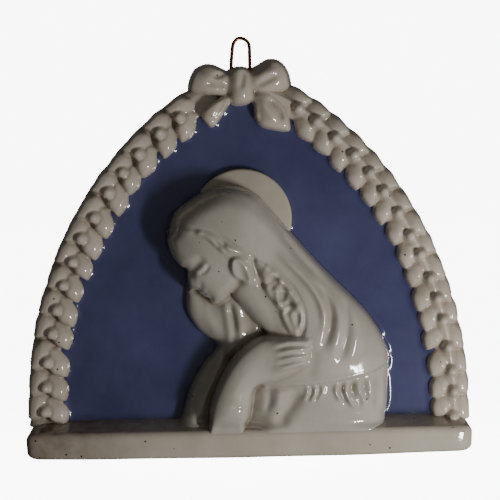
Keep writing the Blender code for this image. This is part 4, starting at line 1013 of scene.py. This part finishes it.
def blue_ground():
    """The flat ground, where the blue glaze climbs a little up the foot of every form."""
    columns = np.arange(-120, 120.1, GROUND_STEP)
    x, z = np.meshgrid(columns, np.arange(6, ARCH_TIP - 6, GROUND_STEP))
    inset = arch_inset(x, z)
    leaves = np.where(x > 0, garland_depth(np.abs(x), z, inset, 1), garland_depth(np.abs(x), z, inset, -1))
    halo_x = x - FIGURE_OFFSET - HALO_CENTRE[0] * FIGURE_UNIT
    halo_z = z - LEDGE_HEIGHT - HALO_CENTRE[1] * FIGURE_UNIT
    under_halo = np.hypot(halo_x, halo_z) < HALO_RADIUS * FIGURE_UNIT
    forms = np.maximum(np.maximum(leaves, bow_depth(x, z)), figure_form(x, z))
    covered = (forms > SLAB_DEPTH + 0.5) | under_halo | (z < LEDGE_HEIGHT)
    near = blur(covered.astype(float), CLIMB_BRUSH / GROUND_STEP)
    pooled = 0.15 + np.sin(x / 6.1 + z / 4.3 + 1.6 * np.sin(z / 9.7)) ** 2
    depth = SLAB_DEPTH + GLAZE_CLIMB * pooled * ease(near * 1.5) ** 1.5
    keep = inset > GROUND_INSET
    rim = keep & (blur(keep.astype(float), 1) < 0.999)
    depth[rim] = GROUND_EDGE_DEPTH
    return clay_sheet("blue_ground", x, z, depth, keep=keep, softening=1)


ground_piece = blue_ground()

# %% The clay back
BACK_INSET = 0.8
BAR_INSET = 3.0
BACK_THICKNESS = 7.0


def clay_back():
    """The unglazed back: arch and ledge in one flat slab, a little smaller than the glazed front."""
    middle, _, outwards = arch_frame(np.linspace(0, RUN[-1], 120))
    right = middle - outwards * BACK_INSET
    right = right[right[:, 0] > 0.5]
    half = LEDGE_WIDTH / 2 - BAR_INSET
    foot = [(half, BAR_INSET), (half, LEDGE_HEIGHT), (right[0, 0], LEDGE_HEIGHT)]
    outline = np.concatenate([foot, right, right[::-1] * (-1, 1), np.array(foot)[::-1] * (-1, 1)])
    slab = bmesh.new()
    face = slab.faces.new([slab.verts.new(place(x, 0, z)) for x, z in outline])
    extruded(slab, face, (0, -BACK_THICKNESS * MM, 0))
    bmesh.ops.recalc_face_normals(slab, faces=slab.faces)
    return finished("clay_back", slab, smooth=False)


back_piece = clay_back()

# %% [markdown]
# The ledge was cut from a rolled bar and is a little worn: its ends taper, its front isn't quite straight and
# its underside lifts towards the ends. Many cuts across the bar give the vertices that carry these slow
# bends. It takes its own brown tint from where each point lies: painted shade on the top, which faces up away
# from the light, and towards the left end, where the light falls off, both with some real brown staining.

# %% The ledge's profile
LEDGE_ROUNDING = 4.2
LEDGE_CUTS = 80


def ledge_bar():
    """The ledge's profile extruded along its length, rounded and cut across."""
    half = LEDGE_WIDTH / 2
    profile = [
        (BACK_GAP, 0), (LEDGE_DEPTH, 0), (LEDGE_DEPTH, LEDGE_HEIGHT - LEDGE_DRAFT),
        (SLAB_DEPTH - 4, LEDGE_HEIGHT + 0.6), (BACK_GAP, LEDGE_HEIGHT - 1),
    ]
    bar = bmesh.new()
    end = bar.faces.new([bar.verts.new(place(-half, depth, z)) for depth, z in profile])
    extruded(bar, end, (LEDGE_WIDTH * MM, 0, 0))
    bmesh.ops.recalc_face_normals(bar, faces=bar.faces)
    bmesh.ops.bevel(
        bar, geom=list(bar.edges), offset=LEDGE_ROUNDING * MM, offset_type="OFFSET", segments=7, profile=0.5,
        affect="EDGES", clamp_overlap=True, material=-1,
    )
    for i in range(1, LEDGE_CUTS):
        geometry = list(bar.verts) + list(bar.edges) + list(bar.faces)
        cut = Vector(((i / LEDGE_CUTS - 0.5) * LEDGE_WIDTH * MM, 0, 0))
        bmesh.ops.bisect_plane(bar, geom=geometry, plane_co=cut, plane_no=(1, 0, 0))
    return bar


# %% The ledge
END_SHARE = 0.06
END_TAPER = 0.1
FRONT_WAVE = 0.012
END_LIFT = 1.3
END_CURVE = 0.006
# Painted shade with some real brown staining: the top faces up away from the light, and the light falls off
# towards the left end.
LEFT_SHADE_AND_STAIN = 3.4
TOP_SHADE_AND_STAIN = 2.4


def ledge():
    """The worn bar, with painted shade and some brown staining on its top and towards its left end."""
    bar = ledge_bar()
    half = LEDGE_WIDTH / 2
    middle = place(0, LEDGE_DEPTH * 0.45, LEDGE_HEIGHT * 0.55)
    for vertex in bar.verts:
        x = vertex.co.x / MM
        end = max(0.0, (abs(x) / half - 1 + END_SHARE) / END_SHARE) ** 2
        worn = 1 - END_TAPER * end - FRONT_WAVE * (1 + math.sin(x / 17 + 1.1) * math.sin(x / 41))
        vertex.co.y = middle.y + (vertex.co.y - middle.y) * worn
        vertex.co.z = middle.z + (vertex.co.z - middle.z) * worn
        height = (vertex.co.z - middle.z) / MM / (LEDGE_HEIGHT / 2)
        if height < 0:
            vertex.co.z += END_LIFT * (x / half) ** 2 * min(1.0, -height) * MM
        vertex.co.x *= 1 - END_CURVE * height ** 2
    made = finished("ledge", bar)
    # Brown on the top and towards the left end: painted shade, with some real staining.
    brown_amount = made.data.attributes.new("shade_and_stain", "FLOAT", "POINT")
    for vertex in made.data.vertices:
        height = vertex.co.z / MM - UNDERSIDE
        on_top = ease((height - LEDGE_HEIGHT + LEDGE_DRAFT + 1) / 2)
        to_the_left = ease((-vertex.co.x / MM - 50) / 70)
        brown_amount.data[vertex.index].value = LEFT_SHADE_AND_STAIN * to_the_left + TOP_SHADE_AND_STAIN * on_top
    return made


ledge_piece = ledge()

# %% [markdown]
# ## The wire loop
# A length of copper wire is bent over a rod and its two ends are pushed into the clay. A circle of edges is
# carried along the bend and extruded from one place to the next. The left leg leans out a little, as a
# hand-bent wire does.

# %% The wire's line
WIRE_DIAMETER = 2.1
WIRE_SPACING = 10.8
WIRE_OFFSET = -0.6
WIRE_DEPTH = 6.0
WIRE_RISE = 17.3
WIRE_INSERTED = 12.0
WIRE_LEAN = 1.3
LEG_STEPS = 14
BEND_STEPS = 28


def wire_path():
    """The wire's middle line, from the foot of the right leg over the bend to the foot of the left leg."""
    radius = WIRE_SPACING / 2
    shoulder = ARCH_TIP + WIRE_RISE - radius
    foot = ARCH_TIP - WIRE_INSERTED
    leg = [(radius, foot + (shoulder - foot) * i / LEG_STEPS) for i in range(LEG_STEPS)]
    angles = [math.pi * i / BEND_STEPS for i in range(BEND_STEPS + 1)]
    bend = [(radius * math.cos(angle), shoulder + radius * math.sin(angle)) for angle in angles]
    line = leg + bend + [(-x, z) for x, z in reversed(leg)]
    lean = [WIRE_LEAN * max(0.0, -x / radius) * ease((z - ARCH_TIP) / WIRE_RISE) for x, z in line]
    return [place(WIRE_OFFSET + x + shift, WIRE_DEPTH, z) for (x, z), shift in zip(line, lean)]


print("the wire is", round(sum((b - a).length for a, b in zip(wire_path(), wire_path()[1:])) / MM), "mm long")


# %% The wire
def wire():
    """A round tube along the path."""
    path = wire_path()
    radius = WIRE_DIAMETER / 2 * MM
    out = Vector((0, 1, 0))
    tube = bmesh.new()
    ring = bmesh.ops.create_circle(tube, cap_ends=True, segments=20, radius=radius)["verts"]
    angles = [math.atan2(vertex.co.y, vertex.co.x) for vertex in ring]
    for i, middle in enumerate(path):
        if i:
            edges = [edge for edge in tube.edges if edge.verts[0] in ring and edge.verts[1] in ring]
            grown = bmesh.ops.extrude_edge_only(tube, edges=edges)["geom"]
            fresh = [item for item in grown if isinstance(item, bmesh.types.BMVert)]
            ring = [min(fresh, key=lambda vertex: (vertex.co - old.co).length) for old in ring]
        direction = (path[min(i + 1, len(path) - 1)] - path[max(i - 1, 0)]).normalized()
        side = direction.cross(out).normalized()
        for vertex, angle in zip(ring, angles):
            vertex.co = middle + (side * math.cos(angle) + out * math.sin(angle)) * radius
    bmesh.ops.holes_fill(tube, edges=[edge for edge in tube.edges if edge.is_boundary])
    bmesh.ops.recalc_face_normals(tube, faces=tube.faces)
    return finished("wire_loop", tube)


wire_piece = wire()

# %% [markdown]
# ## Colour and nodes
# Colours are written as the sRGB hex values a paint card would give and turned to linear light by one
# function. One more function adds a shader node with its settings and its links, and every material is built
# with it.

# %% Two helpers
def colour(code):
    """Linear light from an sRGB hex value."""
    parts = [int(code[i:i + 2], 16) / 255 for i in (1, 3, 5)]
    return (*[p / 12.92 if p <= 0.04045 else ((p + 0.055) / 1.055) ** 2.4 for p in parts], 1)


def add_node(owner, kind, inputs=None, links=None, stops=(), **settings):
    """A node with its settings, fixed inputs, links from other outputs and, for a ramp, its colours."""
    node = owner.node_tree.nodes.new(kind)
    for name, value in settings.items():
        setattr(node, name, value)
    for name, value in (inputs or {}).items():
        node.inputs[name].default_value = value
    for name, source in (links or {}).items():
        owner.node_tree.links.new(source, node.inputs[name])
    for element, (position, code) in zip(node.color_ramp.elements if stops else (), stops):
        element.position = position
        element.color = colour(code)
    return node


print("mid grey #808080 in linear light:", round(colour("#808080")[0], 3))


# %% Steps that several finishes share
def new_material(name):
    """An empty material with its output node and its Principled shader."""
    material = bpy.data.materials.new(name)
    material.use_nodes = True
    material.node_tree.nodes.clear()
    shader = add_node(material, "ShaderNodeBsdfPrincipled")
    add_node(material, "ShaderNodeOutputMaterial", links={"Surface": shader.outputs["BSDF"]})
    return material, shader


def drifting(material, where, size, detail, roughness, stops):
    """A colour that drifts between two shades, over a real size in millimetres."""
    settings = {"Scale": 1 / (size * MM), "Detail": detail, "Roughness": roughness}
    cloud = add_node(material, "ShaderNodeTexNoise", settings, {"Vector": where})
    ramp = add_node(material, "ShaderNodeValToRGB", links={"Fac": cloud.outputs["Fac"]}, stops=stops)
    return ramp.outputs["Color"]


def roughen(material, shader, where, size, detail, strength, height):
    """Bumps a surface with marks of a real size and height in millimetres."""
    settings = {"Scale": 1 / (size * MM), "Detail": detail}
    marks = add_node(material, "ShaderNodeTexNoise", settings, {"Vector": where})
    settings = {"Strength": strength, "Distance": height * MM}
    bump = add_node(material, "ShaderNodeBump", settings, {"Height": marks.outputs["Fac"]})
    material.node_tree.links.new(bump.outputs["Normal"], shader.inputs["Normal"])


# %% [markdown]
# ## The glazes
# The white is a tin glaze over pinkish clay, put on by dipping and fired to a glass: opaque, very glossy and
# a little uneven, with a few pinholes up to a millimetre across, where gas escaped in the kiln. It is warmer
# and browner in the creases, which is painted shade with some real dirt. The blue is the same glaze with
# cobalt. Both are one material on the carved pieces, mixed by the `white` attribute, because on the real
# plaque the blue laps against the foot of every leaf.

# %% The glaze's patterns, in millimetres, and its colours
CLOUD_SIZE = 35.0
PATCH_SIZE = 6.0
RIPPLE_SIZE = 4.0
GROUND_RIPPLE_SIZE = 9.0
PINHOLE_SPACING = 7.4
PINHOLE_RADIUS = 0.555
PINHOLE_SHARE = 0.5
GLASS_IOR = 1.52
BLUE = [(0.3, "#353757"), (0.7, "#444668")]
# The brown of the creases and of the ledge's top and left end: painted shade, with some real dirt and
# staining.
SHADE_AND_STAIN_BROWN = "#6f5c49"
PINHOLE_BROWN = "#2a211b"
print("the widest pinhole is", 2 * PINHOLE_RADIUS, "mm across")


# %% Tin glaze
def shaded_and_stained(material, where, white, brown_amount):
    """The white with brown in its creases, in patches: painted shade, with some real dirt and staining."""
    crease = add_node(material, "ShaderNodeAttribute", attribute_name="shade_and_stain")
    settings = {"Scale": 1 / (PATCH_SIZE * MM), "Detail": 3.0}
    patch = add_node(material, "ShaderNodeTexNoise", settings, {"Vector": where})
    deep = add_node(material, "ShaderNodeMath", {1: brown_amount}, {0: crease.outputs["Fac"]}, operation="MULTIPLY")
    both = {0: deep.outputs[0], 1: patch.outputs["Fac"]}
    uneven = add_node(material, "ShaderNodeMath", links=both, operation="MULTIPLY", use_clamp=True)
    links = {"Factor": uneven.outputs[0], "A": white}
    tinted = add_node(material, "ShaderNodeMix", {"B": colour(SHADE_AND_STAIN_BROWN)}, links, data_type="RGBA")
    return tinted.outputs["Result"]


def pinholed(material, where, surface):
    """The surface with dark pinholes, one in about half of the cells of a Voronoi pattern."""
    settings = {"Scale": 1 / (PINHOLE_SPACING * MM)}
    cell = add_node(material, "ShaderNodeTexVoronoi", settings, {"Vector": where}, feature="F1")
    chance = add_node(
        material, "ShaderNodeMath", {1: PINHOLE_SHARE}, {0: cell.outputs["Color"]}, operation="LESS_THAN",
    )
    dot = add_node(
        material, "ShaderNodeMath", {1: PINHOLE_RADIUS / PINHOLE_SPACING}, {0: cell.outputs["Distance"]},
        operation="LESS_THAN",
    )
    both = {0: dot.outputs[0], 1: chance.outputs[0]}
    hole = add_node(material, "ShaderNodeMath", links=both, operation="MULTIPLY")
    links = {"Factor": hole.outputs[0], "A": surface}
    holed = add_node(material, "ShaderNodeMix", {"B": colour(PINHOLE_BROWN)}, links, data_type="RGBA")
    return holed.outputs["Result"]


def glaze(name, thin, thick, brown_amount, with_blue=True):
    """A thick glossy glaze, white, or blue wherever the piece's white attribute is 0."""
    material, shader = new_material(name)
    where = add_node(material, "ShaderNodeTexCoord").outputs["Object"]
    white = drifting(material, where, CLOUD_SIZE, 4.0, 0.6, [(0.3, thin), (0.7, thick)])
    surface = pinholed(material, where, shaded_and_stained(material, where, white, brown_amount))
    if with_blue:
        blue = drifting(material, where, CLOUD_SIZE, 4.0, 0.6, BLUE)
        cover = add_node(material, "ShaderNodeAttribute", attribute_name="white")
        links = {"Factor": cover.outputs["Fac"], "A": blue, "B": surface}
        surface = add_node(material, "ShaderNodeMix", links=links, data_type="RGBA").outputs["Result"]
    material.node_tree.links.new(surface, shader.inputs["Base Color"])
    roughen(material, shader, where, RIPPLE_SIZE, 2.0, 0.25, 0.35)
    shader.inputs["Roughness"].default_value = 0.1
    shader.inputs["IOR"].default_value = GLASS_IOR
    return material


# %% [markdown]
# The three whites differ a little, as one dipping does. On the leaves and the bow the glaze ran thin over
# many edges, so they are warmest, and their many creases take the most brown, which is painted shade with
# some real dirt. It lies thick and grey-white on the broad figure, and in between on the halo and the ledge,
# which no blue touches.

# %% Three whites
rim_glaze = glaze("thin_tin_glaze", "#a99e8e", "#c2b7a7", 0.46)
figure_glaze = glaze("thick_tin_glaze", "#969184", "#aca699", 0.26)
plain_glaze = glaze("plain_tin_glaze", "#9b9383", "#afa798", 0.3, with_blue=False)
for made in (rim_glaze, figure_glaze, plain_glaze):
    print(made.name, "has", len(made.node_tree.nodes), "nodes")


# %% Cobalt glaze on the flat ground
def cobalt_glaze():
    """The same glaze with cobalt, brushed on flat: very glossy, a little uneven in colour and in level."""
    material, shader = new_material("cobalt_glaze")
    where = add_node(material, "ShaderNodeTexCoord").outputs["Object"]
    blue = drifting(material, where, CLOUD_SIZE, 4.0, 0.6, BLUE)
    material.node_tree.links.new(blue, shader.inputs["Base Color"])
    roughen(material, shader, where, GROUND_RIPPLE_SIZE, 2.0, 0.2, 0.3)
    shader.inputs["Roughness"].default_value = 0.12
    shader.inputs["IOR"].default_value = GLASS_IOR
    return material


# %% [markdown]
# The back was wiped clean of glaze before firing, so that the plaque didn't stick to the kiln shelf. Fired
# earthenware is matt and pinkish buff, with a fine grit that gives no gloss at all. The real grit is finer
# than the picture can show, so it is drawn at 0.8 mm. The wire is drawn copper: smooth from the die, darkened
# by air, and brighter where it has been rubbed.

# %% Bare clay and copper
CLAY_CLOUD_SIZE = 20.0
GRIT_SIZE = 0.8
COPPER_WEAR_SIZE = 3.0
print("the grit is drawn at", GRIT_SIZE, "mm and the wire's wear at", COPPER_WEAR_SIZE, "mm")


def bare_clay():
    """Unglazed fired earthenware: matt, pinkish buff, with fine grit."""
    material, shader = new_material("bare_earthenware")
    where = add_node(material, "ShaderNodeTexCoord").outputs["Object"]
    clay = drifting(material, where, CLAY_CLOUD_SIZE, 6.0, 0.5, [(0.3, "#a98468"), (0.7, "#bf9b7d")])
    material.node_tree.links.new(clay, shader.inputs["Base Color"])
    roughen(material, shader, where, GRIT_SIZE, 3.0, 0.5, 0.3)
    shader.inputs["Roughness"].default_value = 0.9
    return material


def old_copper():
    """Drawn copper wire darkened by age, bright where it has been rubbed."""
    material, shader = new_material("aged_copper")
    where = add_node(material, "ShaderNodeTexCoord").outputs["Object"]
    metal = drifting(material, where, COPPER_WEAR_SIZE, 3.0, 0.5, [(0.35, "#4f281d"), (0.65, "#9a5c45")])
    material.node_tree.links.new(metal, shader.inputs["Base Color"])
    shader.inputs["Metallic"].default_value = 1.0
    shader.inputs["Roughness"].default_value = 0.32
    return material


# %% Dress the pieces
def dress(pieces, material, node="plaque"):
    """Gives pieces their material and slot, and hides the CAD node they stand for."""
    for piece in pieces:
        piece.data.materials.append(material)
        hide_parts(node)
        print(piece.name, "is dressed in", material.name)


dress(garland_sides + [bow_piece], rim_glaze)
dress([figure_piece], figure_glaze)
dress([halo_piece, ledge_piece], plain_glaze)
dress([ground_piece], cobalt_glaze())
dress([back_piece], bare_clay())
dress([wire_piece], old_copper(), "hanging_wire")

# %% [markdown]
# ## Floor, light and camera
# The photograph was taken straight on from a little above, 0.6 m away, with the camera turned by about a
# degree. The floor and the world around it are plain and pale. They look bright to the camera alone, and
# light the plaque dimly, or the gloss would wash out.

# %% The floor
BACKDROP = 8.5
FLOOR_DROP = 0.12


def stage_floor():
    """A plain pale floor below the plaque, which hides no light."""
    floor = bmesh.new()
    bmesh.ops.create_grid(floor, x_segments=1, y_segments=1, size=4.0)
    bmesh.ops.translate(floor, vec=(0, 0, cad_low.z - FLOOR_DROP), verts=floor.verts)
    mesh = bpy.data.meshes.new("floor")
    floor.to_mesh(mesh)
    floor.free()
    made = bpy.data.objects.new("floor", mesh)
    bpy.context.scene.collection.objects.link(made)
    material, shader = new_material("pale_floor")
    shader.inputs["Base Color"].default_value = colour("#f2f2f2")
    shader.inputs["Roughness"].default_value = 0.9
    shader.inputs["Emission Color"].default_value = (1, 1, 1, 1)
    shader.inputs["Emission Strength"].default_value = BACKDROP
    made.visible_diffuse = False
    made.visible_glossy = False
    made.visible_shadow = False
    mesh.materials.append(material)
    print("the floor lies", round((cad_low.z - FLOOR_DROP) / MM), "mm from the frame's origin")


stage_floor()


# %% [markdown]
# The photograph's glints come from a window low at the right. A small soft lamp stands in for it, near the
# plaque. A second lamp straight behind it lights the bare back for views from there, and because it stands on
# the plaque's axis, it can't reach the outer edge and draw a bright line round the front.

# %% Lamps
def soft_light(name, position, width, height, watts):
    """A soft light like a window, aimed at the plaque's middle."""
    data = bpy.data.lights.new(name, "AREA")
    data.shape = "RECTANGLE"
    data.size = width
    data.size_y = height
    data.energy = watts
    made = bpy.data.objects.new(name, data)
    bpy.context.scene.collection.objects.link(made)
    made.location = position
    aim = Vector((0, 0, 0)) - Vector(position)
    made.rotation_euler = aim.to_track_quat("-Z", "Y").to_euler()
    made.visible_camera = False
    print(name, "gives", watts, "W")


soft_light("window", (0.215, -0.3, -0.13), 0.03, 0.1, 1.1)
soft_light("lamp_behind", (0.0, 0.6, 0.0), 0.12, 0.12, 4.0)

# %% The world
BRIGHT_SIDE = (0.85, -0.45, -0.25)
DIMMEST = 0.06
BRIGHTEST = 0.29
TURNING_POINT = -0.1
WHITE_LIGHT = (1, 1, 1, 1)


def studio_world():
    """A pale world that lights the plaque dimly, less from the left, and looks bright behind it."""
    world = bpy.data.worlds.new("studio")
    world.use_nodes = True
    world.node_tree.nodes.clear()
    way = add_node(world, "ShaderNodeTexCoord")
    links = {0: way.outputs["Generated"]}
    toward = add_node(world, "ShaderNodeVectorMath", {1: BRIGHT_SIDE}, links, operation="DOT_PRODUCT")
    settings = {"From Min": TURNING_POINT, "To Min": DIMMEST, "To Max": BRIGHTEST}
    fill = add_node(world, "ShaderNodeMapRange", settings, {"Value": toward.outputs["Value"]})
    links = {"Strength": fill.outputs["Result"]}
    dim = add_node(world, "ShaderNodeBackground", {"Color": WHITE_LIGHT}, links)
    bright = add_node(world, "ShaderNodeBackground", {"Color": WHITE_LIGHT, "Strength": BACKDROP})
    seen = add_node(world, "ShaderNodeLightPath")
    shaders = {1: dim.outputs["Background"], 2: bright.outputs["Background"]}
    mix = add_node(world, "ShaderNodeMixShader", links={"Fac": seen.outputs["Is Camera Ray"], **shaders})
    add_node(world, "ShaderNodeOutputWorld", links={"Surface": mix.outputs["Shader"]})
    bpy.context.scene.world = world
    print("the world's light runs from", DIMMEST, "to", BRIGHTEST)


studio_world()

# %% The camera
CAMERA_DISTANCE = 600.0
CAMERA_ELEVATION = math.radians(5)
CAMERA_ROLL = math.radians(1.2)
CAMERA_AIM = 2.7
FOCAL_PIXELS = 1016.0
PHOTO_PIXELS = 500.0
SENSOR = 36.0


def camera():
    """The photograph's camera, from its place, its aim and its roll."""
    look = Vector((0, math.cos(CAMERA_ELEVATION), -math.sin(CAMERA_ELEVATION)))
    right = Vector((1, 0, 0))
    up = right.cross(look)
    across = right * math.cos(CAMERA_ROLL) - up * math.sin(CAMERA_ROLL)
    upright = right * math.sin(CAMERA_ROLL) + up * math.cos(CAMERA_ROLL)
    data = bpy.data.cameras.new("photo_camera")
    data.sensor_width = SENSOR
    data.lens = FOCAL_PIXELS / PHOTO_PIXELS * SENSOR
    made = bpy.data.objects.new("photo_camera", data)
    bpy.context.scene.collection.objects.link(made)
    turn = Matrix((across, upright, -look)).transposed().to_4x4()
    position = Vector((CAMERA_AIM * MM, 0, 0)) - look * CAMERA_DISTANCE * MM
    made.matrix_world = Matrix.Translation(position) @ turn
    bpy.context.scene.camera = made
    print("lens, millimetres:", round(data.lens, 1))


camera()
